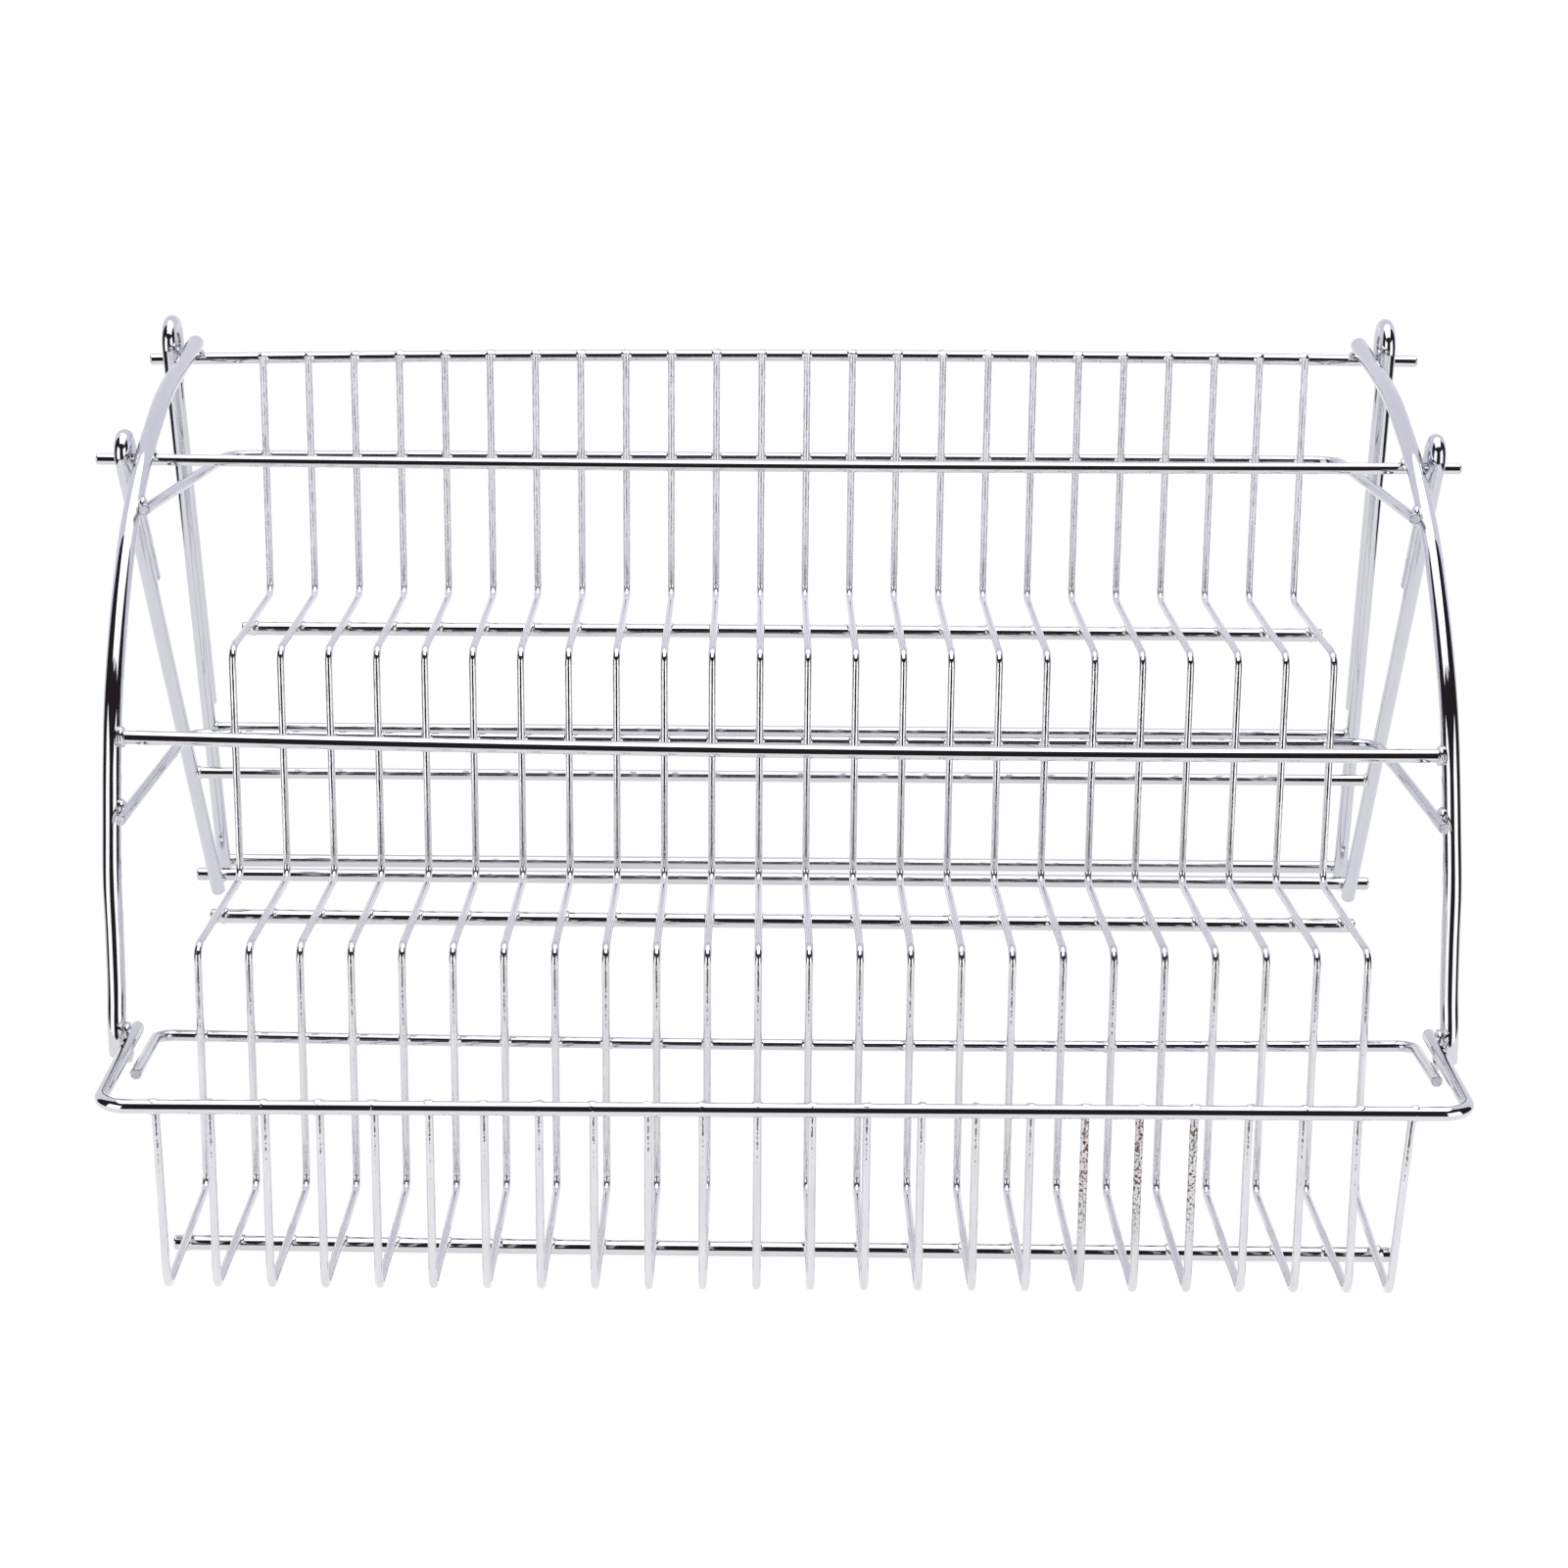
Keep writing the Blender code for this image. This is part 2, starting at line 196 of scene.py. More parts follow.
# Half lengths of the weld beads: spot welds round the rods at the tier wires, and beads between
# thick rods, at a brace's ends and along an arm's tail
SPOT_BEAD = 3.0 * MM
SPOT_BEAD_RISE = 0.30 * MM
SPOT_SHIFT = 0.35 * MM
THICK_BEAD = 3.4 * MM
BUTT_BEAD = 1.5 * MM
BRACE_BEAD = 2.7 * MM
TAIL_BEAD = 4.5 * MM
BAR_BEAD_SHARE = 0.8

# How finely the beads are drawn, and how lumpy they are
BEAD_RINGS = 8
BEAD_SIDES = 12
BEAD_LUMPS = 0.16
BEAD_LUMP_COUNT = 1.6
BEAD_LUMP_OFFSET = 0.37
POLE_SIZE = 0.001 * MM

# How finely the rods are drawn
BEND_STEPS = 9
EYE_STEPS = 22
CURVE_STEPS = 6
THIN_SIDES = 16
THICK_SIDES = 24
RUN_STEP = 8.0 * MM

# Cut ends, start and end: a sheared rod has a small edge radius, and the side frames' tops are
# dressed rounder
CUT_EDGE_SHARES = (0.22, 0.22)
DRESSED_EDGE_SHARES = (0.75, 0.22)
EDGE_STEPS = 4
EDGE_HOLD_SHARE = 0.12

# What a rod's mesh carries for its finish, in millimetres: across, across and along, each rod from
# its own offset, and how far from the rod's start
ROD_COORDINATES = "rod_mm"
FROM_START = "from_start_mm"
ROD_OFFSET_MM = 311.0
ROD_NUMBERS = itertools.count()

# Patterns in the plate: their sizes in millimetres, and how little they change along the rod. Only
# three tier wires are pitted, numbered from 0 at the left
CLOUD_MM = 4.0
CLOUD_ALONG = 0.25
RIPPLE_ALONG = 0.55
DIE_LINE_MM = 0.45
DIE_LINE_RUN_MM = 60.0
BLOOM_SPOT_MM = 1.3
BLOOM_ALONG = 0.28
BLOOM_SPOT_EDGES = (0.42, 0.60)
BLOOM_BETWEEN_SPOTS = 0.40
BLOOM_RUNS_MM = ((100.0, 70.0), (330.0, 375.0))
SPECK_MM = 0.9
SPECK_EDGE = 0.04
SPECK_RUN_MM = (512.0, 536.0)
SPECK_BROWN = "#6B4B2C"
SPECK_ROUGHNESS = 0.45
PITTED_WIRES = (17, 18, 19)

# Settings that several nodes share
SMOOTH = {"interpolation_type": "SMOOTHSTEP"}
MULTIPLY = {"operation": "MULTIPLY"}
MIX_COLOURS = {"data_type": "RGBA"}


def linear(hex_colour):
    """An sRGB hex colour as linear red, green, blue and alpha."""
    channels = [int(hex_colour[at : at + 2], 16) / 255 for at in (1, 3, 5)]
    return (*[c / 12.92 if c <= 0.04045 else ((c + 0.055) / 1.055) ** 2.4 for c in channels], 1.0)


def add_node(tree, kind, settings=None, inputs=None):
    """One node with its settings, and with values or links on its inputs."""
    node = tree.nodes.new(kind)
    for name, value in (settings or {}).items():
        setattr(node, name, value)
    for key, value in (inputs or {}).items():
        if isinstance(value, bpy.types.NodeSocket):
            tree.links.new(value, node.inputs[key])
        else:
            node.inputs[key].default_value = value
    return node


def milky_share(tree, rod_mm, bloom):
    """How milky the plate is: in spots, and by how far along the rod it is."""
    from_start = add_node(tree, "ShaderNodeAttribute", {"attribute_name": FROM_START}).outputs["Fac"]
    shares = []
    for (clear_mm, milky_mm), most in zip(BLOOM_RUNS_MM, bloom):
        share = add_node(
            tree,
            "ShaderNodeMapRange",
            SMOOTH,
            {
                "Value": from_start,
                "From Min": milky_mm,
                "From Max": clear_mm,
                "To Min": most,
                "To Max": 0.0,
            },
        )
        shares.append(share.outputs["Result"])
    by_place = add_node(tree, "ShaderNodeMath", {"operation": "ADD"}, {0: shares[0], 1: shares[1]})
    run = add_node(tree, "ShaderNodeMapping", inputs={"Vector": rod_mm, "Scale": (1.0, 1.0, BLOOM_ALONG)})
    spot = add_node(
        tree,
        "ShaderNodeTexNoise",
        inputs={"Vector": run.outputs[0], "Scale": 1 / BLOOM_SPOT_MM, "Detail": 3.0, "Roughness": 0.65},
    )
    faint, full = BLOOM_SPOT_EDGES
    spots = add_node(
        tree,
        "ShaderNodeMapRange",
        SMOOTH,
        {
            "Value": spot.outputs["Fac"],
            "From Min": faint,
            "From Max": full,
            "To Min": BLOOM_BETWEEN_SPOTS,
            "To Max": 1.0,
        },
    )
    milky = add_node(tree, "ShaderNodeMath", MULTIPLY, {0: by_place.outputs[0], 1: spots.outputs["Result"]})
    return milky.outputs[0]


def pitted_share(tree, rod_mm, specks):
    """Where the plate is pitted: in specks, and only at the wires' front ends, just under the rim."""
    speck = add_node(
        tree,
        "ShaderNodeTexNoise",
        inputs={"Vector": rod_mm, "Scale": 1 / SPECK_MM, "Detail": 3.0, "Roughness": 0.7},
    )
    specked = add_node(
        tree,
        "ShaderNodeMapRange",
        SMOOTH,
        {"Value": speck.outputs["Fac"], "From Min": 1 - specks - SPECK_EDGE, "From Max": 1 - specks},
    )
    from_start = add_node(tree, "ShaderNodeAttribute", {"attribute_name": FROM_START}).outputs["Fac"]
    first_mm, full_mm = SPECK_RUN_MM
    by_place = add_node(
        tree,
        "ShaderNodeMapRange",
        SMOOTH,
        {"Value": from_start, "From Min": first_mm, "From Max": full_mm},
    )
    pitted = add_node(
        tree, "ShaderNodeMath", MULTIPLY, {0: specked.outputs["Result"], 1: by_place.outputs["Result"]}
    )
    return pitted.outputs[0]


def chrome_plate(name, tone, dark_tone, gloss, ripple_mm, line_mm, bloom=(0.0, 0.0), specks=0.0):
    """Bright chrome over nickel on drawn steel rod, as electroplated and not buffed.

    tone and dark_tone are the plate's colour and its greyer patches, gloss its roughness at the
    glossiest and at the dullest, ripple_mm the size and height of the plate's waviness, line_mm the
    height of the drawing die's lines, bloom how milky the plate is by the rod's start and by its
    end, and specks the share of the surface that is pitted and brown.
    """
    material = bpy.data.materials.new(name)
    material.use_nodes = True
    tree = material.node_tree
    shader = tree.nodes["Principled BSDF"]
    rod_mm = add_node(tree, "ShaderNodeAttribute", {"attribute_name": ROD_COORDINATES}).outputs["Vector"]

    # Cloudy patches of plate a few millimetres long, drawn out along the rod, greyer and duller
    cloud_run = add_node(
        tree,
        "ShaderNodeMapping",
        inputs={"Vector": rod_mm, "Scale": (1.0, 1.0, CLOUD_ALONG)},
    )
    cloud = add_node(
        tree,
        "ShaderNodeTexNoise",
        inputs={"Vector": cloud_run.outputs[0], "Scale": 1 / CLOUD_MM, "Detail": 3.0, "Roughness": 0.6},
    )
    plate = add_node(
        tree,
        "ShaderNodeMix",
        MIX_COLOURS,
        {"Factor": cloud.outputs["Fac"], "A": linear(dark_tone), "B": linear(tone)},
    )
    colour = plate.outputs["Result"]
    glossy, dull = gloss
    roughness = add_node(
        tree,
        "ShaderNodeMapRange",
        inputs={"Value": cloud.outputs["Fac"], "To Min": dull, "To Max": glossy},
    ).outputs["Result"]

    # Milky bloom of unbuffed plate, which scatters light between the mirror bright spots
    if any(bloom):
        milky = milky_share(tree, rod_mm, bloom)
        metal = add_node(tree, "ShaderNodeMath", {"operation": "SUBTRACT"}, {0: 1.0, 1: milky})
        tree.links.new(metal.outputs[0], shader.inputs["Metallic"])
    else:
        shader.inputs["Metallic"].default_value = 1.0

    # Pits that have gone brown
    if specks:
        pitted = pitted_share(tree, rod_mm, specks)
        browned = add_node(
            tree,
            "ShaderNodeMix",
            MIX_COLOURS,
            {"Factor": pitted, "A": colour, "B": linear(SPECK_BROWN)},
        )
        colour = browned.outputs["Result"]
        dulled = add_node(
            tree,
            "ShaderNodeMapRange",
            inputs={"Value": pitted, "To Min": glossy, "To Max": SPECK_ROUGHNESS},
        )
        roughness = add_node(
            tree, "ShaderNodeMath", {"operation": "MAXIMUM"}, {0: roughness, 1: dulled.outputs["Result"]}
        ).outputs[0]

    # Die lines along the rod, far finer than the render shows, so drawn as coarse as it needs
    line_run = add_node(
        tree,
        "ShaderNodeMapping",
        inputs={"Vector": rod_mm, "Scale": (1 / DIE_LINE_MM, 1 / DIE_LINE_MM, 1 / DIE_LINE_RUN_MM)},
    )
    line = add_node(
        tree,
        "ShaderNodeTexNoise",
        inputs={"Vector": line_run.outputs[0], "Scale": 1.0, "Detail": 2.0},
    )
    lines = add_node(
        tree,
        "ShaderNodeBump",
        inputs={"Height": line.outputs["Fac"], "Distance": line_mm * MM, "Strength": 1.0},
    )

    # The plate's waviness, which bends the reflections
    wave_mm, wave_height_mm = ripple_mm
    ripple_run = add_node(
        tree,
        "ShaderNodeMapping",
        inputs={"Vector": rod_mm, "Scale": (1.0, 1.0, RIPPLE_ALONG)},
    )
    wave = add_node(
        tree,
        "ShaderNodeTexNoise",
        inputs={"Vector": ripple_run.outputs[0], "Scale": 1 / wave_mm, "Detail": 2.0, "Roughness": 0.45},
    )
    ripples = add_node(
        tree,
        "ShaderNodeBump",
        inputs={
            "Height": wave.outputs["Fac"],
            "Distance": wave_height_mm * MM,
            "Strength": 1.0,
            "Normal": lines.outputs["Normal"],
        },
    )
    tree.links.new(colour, shader.inputs["Base Color"])
    tree.links.new(roughness, shader.inputs["Roughness"])
    tree.links.new(ripples.outputs["Normal"], shader.inputs["Normal"])
    return material


# Thin drawn wire, plated unbuffed: mottled reflections, milky up the back wall of the basket
TIER_WIRE_CHROME = chrome_plate(
    "chrome_plate_on_thin_wire",
    tone="#EAEAEC",
    dark_tone="#CDCDD0",
    gloss=(0.05, 0.12),
    ripple_mm=(1.5, 0.075),
    line_mm=0.008,
    bloom=(0.90, 0.16),
)
# The same wire where the plate is thin: dark brown pits under the rim
PITTED_WIRE_CHROME = chrome_plate(
    "pitted_chrome_plate_on_thin_wire",
    tone="#E8E8EA",
    dark_tone="#C4C4C8",
    gloss=(0.06, 0.15),
    ripple_mm=(1.0, 0.090),
    line_mm=0.010,
    bloom=(0.90, 0.16),
    specks=0.44,
)
# Thick rod, bright and nearly mirror smooth: crisp black and white bands
RAIL_CHROME = chrome_plate(
    "bright_chrome_plate_on_rails",
    tone="#DDDDE0",
    dark_tone="#CFCFD3",
    gloss=(0.03, 0.07),
    ripple_mm=(7.0, 0.012),
    line_mm=0.0015,
)
# A little duller and wavier than the rails: softer bands
CROSS_WIRE_CHROME = chrome_plate(
    "bright_chrome_plate_on_cross_wires",
    tone="#DBDBDE",
    dark_tone="#C9C9CD",
    gloss=(0.04, 0.09),
    ripple_mm=(4.0, 0.020),
    line_mm=0.002,
)
# The smoothest rod of all, in front of everything: long clean bands
RIM_CHROME = chrome_plate(
    "bright_chrome_plate_on_rim",
    tone="#DEDEE1",
    dark_tone="#D0D0D4",
    gloss=(0.03, 0.06),
    ripple_mm=(8.0, 0.012),
    line_mm=0.0012,
)
# Duller, cooler and wavier: soft grey bands with uneven edges. Its tone is darker than the other chrome as
# painted shade, for the shaded table under the rack that the hoops reflect
HOOP_CHROME_WITH_PAINTED_SHADE = chrome_plate(
    "chrome_plate_on_hoops_with_painted_shade",
    tone="#D3D4DA",
    dark_tone="#BFC0C7",
    gloss=(0.04, 0.10),
    ripple_mm=(3.0, 0.040),
    line_mm=0.003,
)
# Thick bent rod: deep black and white stretches with slightly wavering edges
SIDE_FRAME_CHROME = chrome_plate(
    "bright_chrome_plate_on_side_frames",
    tone="#DADADE",
    dark_tone="#CCCCD1",
    gloss=(0.035, 0.08),
    ripple_mm=(6.0, 0.022),
    line_mm=0.003,
)
# Satin light grey with a faint blue cast
ARM_CHROME = chrome_plate(
    "chrome_plate_on_swing_arms",
    tone="#D9DAE0",
    dark_tone="#CBCCD3",
    gloss=(0.06, 0.13),
    ripple_mm=(4.0, 0.030),
    line_mm=0.004,
)
# Neutral grey, glossier than the arms: dark bands with uneven edges
BAR_CHROME = chrome_plate(
    "chrome_plate_on_bottom_bars",
    tone="#DADADD",
    dark_tone="#C9C9CD",
    gloss=(0.04, 0.10),
    ripple_mm=(4.0, 0.026),
    line_mm=0.003,
)
# Lumpy weld metal under the plate: small lights and darks side by side
WELD_CHROME = chrome_plate(
    "chrome_plate_on_welds",
    tone="#E8E8EA",
    dark_tone="#C9C9CC",
    gloss=(0.08, 0.20),
    ripple_mm=(1.2, 0.050),
    line_mm=0.004,
)
# Sheared rod ends, torn and dull under the plate: pale and mottled
CUT_END_CHROME = chrome_plate(
    "chrome_plate_on_sheared_ends",
    tone="#F0F0F2",
    dark_tone="#B4B4B8",
    gloss=(0.30, 0.60),
    ripple_mm=(0.9, 0.220),
    line_mm=0.004,
    bloom=(0.8, 0.8),
)


def bent(corners, radius, steps=BEND_STEPS):
    """The path through these corners with each inner one rounded to the bend radius."""
    corners = [Vector(corner) for corner in corners]
    path = [corners[0]]
    for before, corner, after in zip(corners, corners[1:], corners[2:]):
        into = (before - corner).normalized()
        out = (after - corner).normalized()
        half_angle = into.angle(out) / 2
        cut = min(radius / math.tan(half_angle), into.dot(before - corner) / 2, out.dot(after - corner) / 2)
        bend_radius = cut * math.tan(half_angle)
        centre = corner + (into + out).normalized() * bend_radius / math.sin(half_angle)
        start = corner + into * cut - centre
        end = corner + out * cut - centre
        sweep = start.angle(end)
        for step in range(steps + 1):
            share = step / steps
            weight_start = math.sin((1 - share) * sweep) / math.sin(sweep)
            weight_end = math.sin(share * sweep) / math.sin(sweep)
            path.append(centre + start * weight_start + end * weight_end)
    path.append(corners[-1])
    return path


def flowing(points, steps=CURVE_STEPS):
    """A smooth path through these points, for rod bent over a former."""
    padded = [2 * points[0] - points[1], *points, 2 * points[-1] - points[-2]]
    path = []
    for p0, p1, p2, p3 in zip(padded, padded[1:], padded[2:], padded[3:]):
        knots = [0.0]
        for a, b in ((p0, p1), (p1, p2), (p2, p3)):
            knots.append(knots[-1] + math.sqrt((b - a).length))
        t0, t1, t2, t3 = knots
        for step in range(steps):
            t = t1 + (t2 - t1) * step / steps
            a1 = p0 * ((t1 - t) / (t1 - t0)) + p1 * ((t - t0) / (t1 - t0))
            a2 = p1 * ((t2 - t) / (t2 - t1)) + p2 * ((t - t1) / (t2 - t1))
            a3 = p2 * ((t3 - t) / (t3 - t2)) + p3 * ((t - t2) / (t3 - t2))
            b1 = a1 * ((t2 - t) / (t2 - t0)) + a2 * ((t - t0) / (t2 - t0))
            b2 = a2 * ((t3 - t) / (t3 - t1)) + a3 * ((t - t1) / (t3 - t1))
            path.append(b1 * ((t2 - t) / (t2 - t1)) + b2 * ((t - t1) / (t2 - t1)))
    path.append(points[-1])
    return path


def stepped(path, run_step=RUN_STEP):
    """The same path with its long straight runs cut into short ones."""
    fine = [path[0]]
    for start, end in zip(path, path[1:]):
        count = max(1, math.ceil((end - start).length / run_step))
        fine += [start.lerp(end, step / count) for step in range(1, count + 1)]
    return fine


def edge_rings(radius, edge_share):
    """How far each ring of a cut end's rounded edge is from the end, and its radius."""
    edge = radius * edge_share
    # One more ring on the straight rod keeps the round edge out of the rod's reflections
    rings = [(edge + radius * EDGE_HOLD_SHARE, radius)]
    for step in range(EDGE_STEPS + 1):
        turn = math.pi / 2 * step / EDGE_STEPS
        rings.append((edge - edge * math.sin(turn), radius - edge + edge * math.cos(turn)))
    return rings


def rod(node, body, path, radius, chrome, sides=THICK_SIDES, edge_shares=CUT_EDGE_SHARES):
    """One round rod along a path of points, which stands for its CAD node and rides on its body."""
    path = stepped([Vector(point) for point in path])
    start_run = (path[1] - path[0]).normalized()
    end_run = (path[-1] - path[-2]).normalized()
    rings = []
    for inset, ring_radius in reversed(edge_rings(radius, edge_shares[0])):
        rings.append((path[0] + start_run * inset, ring_radius))
    for point in path[1:-1]:
        if min((point - path[0]).length, (point - path[-1]).length) > radius:
            rings.append((point, radius))
    for inset, ring_radius in edge_rings(radius, edge_shares[1]):
        rings.append((path[-1] - end_run * inset, ring_radius))

    places = [place for place, _ in rings]
    tangents = []
    for at, place in enumerate(places):
        before = places[max(at - 1, 0)]
        after = places[min(at + 1, len(places) - 1)]
        gap_before = (place - before).length
        gap_after = (after - place).length
        if at <= EDGE_STEPS + 1:
            tangents.append(start_run)
        elif at >= len(places) - 2 - EDGE_STEPS:
            tangents.append(end_run)
        elif gap_before > 0 and gap_after > 0:
            # Weighted so that the ring at the end of a straight run still looks along it
            weighted = (place - before) / gap_before**2 + (after - place) / gap_after**2
            tangents.append(weighted.normalized())
        else:
            tangents.append((after - before).normalized())

    side = tangents[0].orthogonal().normalized()
    vertices = []
    coordinates = []
    from_start = []
    travelled = 0.0
    offset = next(ROD_NUMBERS) * ROD_OFFSET_MM
    for at, (place, ring_radius) in enumerate(rings):
        if at:
            turn = tangents[at - 1].rotation_difference(tangents[at])
            side = (turn @ side).normalized()
            travelled += (place - rings[at - 1][0]).length
        other = tangents[at].cross(side)
        for step in range(sides):
            angle = 2 * math.pi * step / sides
            vertices.append(place + (side * math.cos(angle) + other * math.sin(angle)) * ring_radius)
            coordinates += [
                radius * math.cos(angle) / MM,
                radius * math.sin(angle) / MM,
                travelled / MM + offset,
            ]
            from_start.append(travelled / MM)
    faces = []
    for at in range(len(rings) - 1):
        for step in range(sides):
            a = at * sides + step
            b = at * sides + (step + 1) % sides
            faces.append((a, b, b + sides, a + sides))
    caps = [tuple(reversed(range(sides))), tuple(range((len(rings) - 1) * sides, len(rings) * sides))]
    piece = chromed_mesh("chromed_" + node, vertices, faces, caps, coordinates, from_start, chrome)
    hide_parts(node)
    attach(piece, body)


def chromed_mesh(name, vertices, faces, caps, coordinates, from_start, chrome):
    """A piece of smooth faces and flat sheared caps, which carries its own millimetres."""
    data = bpy.data.meshes.new(name)
    data.from_pydata([tuple(v) for v in vertices], [], faces + caps)
    data.materials.append(chrome)
    data.materials.append(CUT_END_CHROME)
    data.polygons.foreach_set("use_smooth", [True] * len(faces) + [False] * len(caps))
    data.polygons.foreach_set("material_index", [0] * len(faces) + [1] * len(caps))
    layer = data.attributes.new(ROD_COORDINATES, "FLOAT_VECTOR", "POINT")
    layer.data.foreach_set("vector", coordinates)
    layer = data.attributes.new(FROM_START, "FLOAT", "POINT")
    layer.data.foreach_set("value", from_start)
    data.update()
    piece = bpy.data.objects.new(name, data)
    bpy.context.scene.collection.objects.link(piece)
    return piece


def weld_beads(name, body, beads):
    """Small lumps of weld metal, each where two rods meet: its centre, its axes and their half lengths."""
    vertices = []
    coordinates = []
    faces = []
    for number, (centre, axes, halves) in enumerate(beads):
        first = len(vertices)
        along, across, through = [axis.normalized() for axis in axes]
        for ring in range(BEAD_RINGS + 1):
            tilt = math.pi * ring / BEAD_RINGS
            for step in range(BEAD_SIDES):
                turn = 2 * math.pi * step / BEAD_SIDES
                way = Vector(
                    (math.sin(tilt) * math.cos(turn), math.sin(tilt) * math.sin(turn), math.cos(tilt))
                )
                lump_at = way * BEAD_LUMP_COUNT + Vector((number, 0.0, first)) * BEAD_LUMP_OFFSET
                lump = 1 + BEAD_LUMPS * noise.noise(lump_at)
                place = along * way.x * halves[0] + across * way.y * halves[1] + through * way.z * halves[2]
                vertices.append(centre + place * lump)
                coordinates += list(centre / MM + place * lump / MM)
        for ring in range(BEAD_RINGS):
            for step in range(BEAD_SIDES):
                a = first + ring * BEAD_SIDES + step
                b = first + ring * BEAD_SIDES + (step + 1) % BEAD_SIDES
                faces.append((a, a + BEAD_SIDES, b + BEAD_SIDES, b))
    piece = chromed_mesh(name, vertices, faces, [], coordinates, [0.0] * len(vertices), WELD_CHROME)
    merge_poles(piece.data)
    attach(piece, body)


def merge_poles(data):
    """Joins the points that lie on each other at the two ends of every bead."""
    shape = bmesh.new()
    shape.from_mesh(data)
    bmesh.ops.remove_doubles(shape, verts=shape.verts, dist=POLE_SIZE)
    shape.to_mesh(data)
    shape.free()


def leaned_way(x, back, up):
    """A direction of the basket's floor frame, leaned back with the basket."""
    turned = Matrix.Rotation(-LEAN, 2) @ Vector((back, up))
    return Vector((x, turned.x, turned.y))


def leaned(x, at):
    """A point of the basket's floor frame, with the basket leaned back and set in its place."""
    return leaned_way(x, *at) + BASKET_PLACE


def racked(x, at):
    """The same for an outer rod: these sit a little to one side, by their height."""
    return leaned(x + (at[1] - RACKING_LEVEL) * RACKING_SHARE, at)


def shift_at(share, shifts):
    """How far a rod is off here, from how far it is at its left end (-1), middle and right end (1)."""
    left, middle, right = shifts
    return middle + (right - left) / 2 * share + ((right + left) / 2 - middle) * share**2


def set_by_hand(path, way, shifts):
    """The path moved along a direction by these amounts at its left end, middle and right end."""
    half = max(abs(point.x) for point in path)
    return [point + way * shift_at(point.x / half, shifts) for point in stepped(path)]


# Corners of a tier wire in the floor frame, from its top end to its front end
step_back = 0.0
wall_back = step_back + MIDDLE_TIER_DEPTH
back_wall = wall_back + UPPER_TIER_DEPTH
front_back = step_back - LOWER_TIER_DEPTH
lower_front_up = -LOWER_FLOOR_RISE
middle_back_up = LOWER_STEP_HEIGHT - MIDDLE_FLOOR_FALL
upper_front_up = middle_back_up + UPPER_STEP_HEIGHT
upper_back_up = upper_front_up + UPPER_FLOOR_RISE
wire_top_up = upper_back_up + BACK_WALL_HEIGHT
upright_top_up = lower_front_up + FRONT_UPRIGHT_HEIGHT
wire_profile = (
    (back_wall, wire_top_up),
    (back_wall, upper_back_up),
    (wall_back, upper_front_up),
    (wall_back, middle_back_up),
    (step_back, LOWER_STEP_HEIGHT),
    (step_back, 0.0),
    (front_back, lower_front_up),
    (front_back, upright_top_up),
)
foot_corner = len(wire_profile) - 2
tier_half = TIER_WIDTH / 2
last_wire = TIER_WIRE_COUNT - 1

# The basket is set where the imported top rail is
top_rail_at = (back_wall + TIER_WIRE_RADIUS + TOP_RAIL_RADIUS + WELD_GAP, wire_top_up - TOP_RAIL_DROP)
top_rail_low, top_rail_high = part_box("top_rail")
BASKET_PLACE = (top_rail_low + top_rail_high) / 2 - leaned_way(0.0, *top_rail_at)


def wire_x(number):
    """How far right of the middle a tier wire stands."""
    return TIER_WIDTH * number / last_wire - tier_half


def tier_wires():
    """The stepped wires that make the three tiers, each one bent from a single length."""
    foot_shifts = {0: FIRST_FOOT_SHIFT, last_wire: LAST_FOOT_SHIFT}
    for number in range(TIER_WIRE_COUNT):
        name = f"tier_wire_{number + 1:02d}"
        corners = [leaned(wire_x(number), at) for at in wire_profile]
        corners[foot_corner].x += foot_shifts.get(number, 0.0)
        rail_shift = shift_at(wire_x(number) / top_rail_half, TOP_RAIL_SET)
        corners[0] += leaned_way(0.0, 0.0, 1.0) * (rail_shift - WIRE_TOP_DROP)
        chrome = PITTED_WIRE_CHROME if number in PITTED_WIRES else TIER_WIRE_CHROME
        path = bent(corners, TIER_BEND_RADIUS)
        rod(name, "rack", path, TIER_WIRE_RADIUS, chrome, THIN_SIDES)


# Cross wires lie under the three floors, which are listed from the top down
under_floor = TIER_WIRE_RADIUS + CROSS_WIRE_RADIUS + WELD_GAP
floors = (
    ("upper", wall_back, upper_front_up, back_wall, upper_back_up),
    ("middle", step_back, LOWER_STEP_HEIGHT, wall_back, middle_back_up),
    ("lower", front_back, lower_front_up, step_back, 0.0),
)
cross_wire_at = {}
for (tier, front, front_up, rear, rear_up), share in zip(floors, CROSS_WIRE_SHARES):
    back = front + (rear - front) * share
    cross_wire_at[tier] = (back, front_up + (rear_up - front_up) * share - under_floor)


def cross_wires():
    """The straight wires that carry the floors of the tiers."""
    half = tier_half + CROSS_WIRE_OVERHANG
    for (tier, at), shifts in zip(cross_wire_at.items(), CROSS_WIRE_SETS):
        path = set_by_hand([leaned(-half, at), leaned(half, at)], leaned_way(0.0, 1.0, 0.0), shifts)
        rod(f"{tier}_cross_wire", "rack", path, CROSS_WIRE_RADIUS, CROSS_WIRE_CHROME)


# Front rim's height and the side frames' path, which runs from above the top rail to the rim
rim_front = (front_back - TIER_WIRE_RADIUS - RIM_RADIUS - WELD_GAP, upright_top_up + RIM_RISE)
foot_back = step_back - LOWER_TIER_DEPTH * SIDE_FRAME_FOOT_SHARE
foot_up = rim_front[1] - SIDE_FRAME_FOOT_DROP
frame_depth = top_rail_at[0] + SIDE_FRAME_OVERHANG - foot_back
frame_top_up = top_rail_at[1] + TOP_RAIL_RADIUS + SIDE_FRAME_RADIUS + WELD_GAP + SIDE_FRAME_END_RISE
frame_height = frame_top_up - foot_up
side_frame_path = [
    Vector((foot_back + frame_depth * back_share, foot_up + frame_height * up_share))
    for back_share, up_share in SIDE_FRAME_PATH_SHARES
]
side_frame_half = tier_half + SIDE_FRAME_OUTSET
frame_inside = side_frame_half - SIDE_FRAME_RADIUS - WELD_GAP
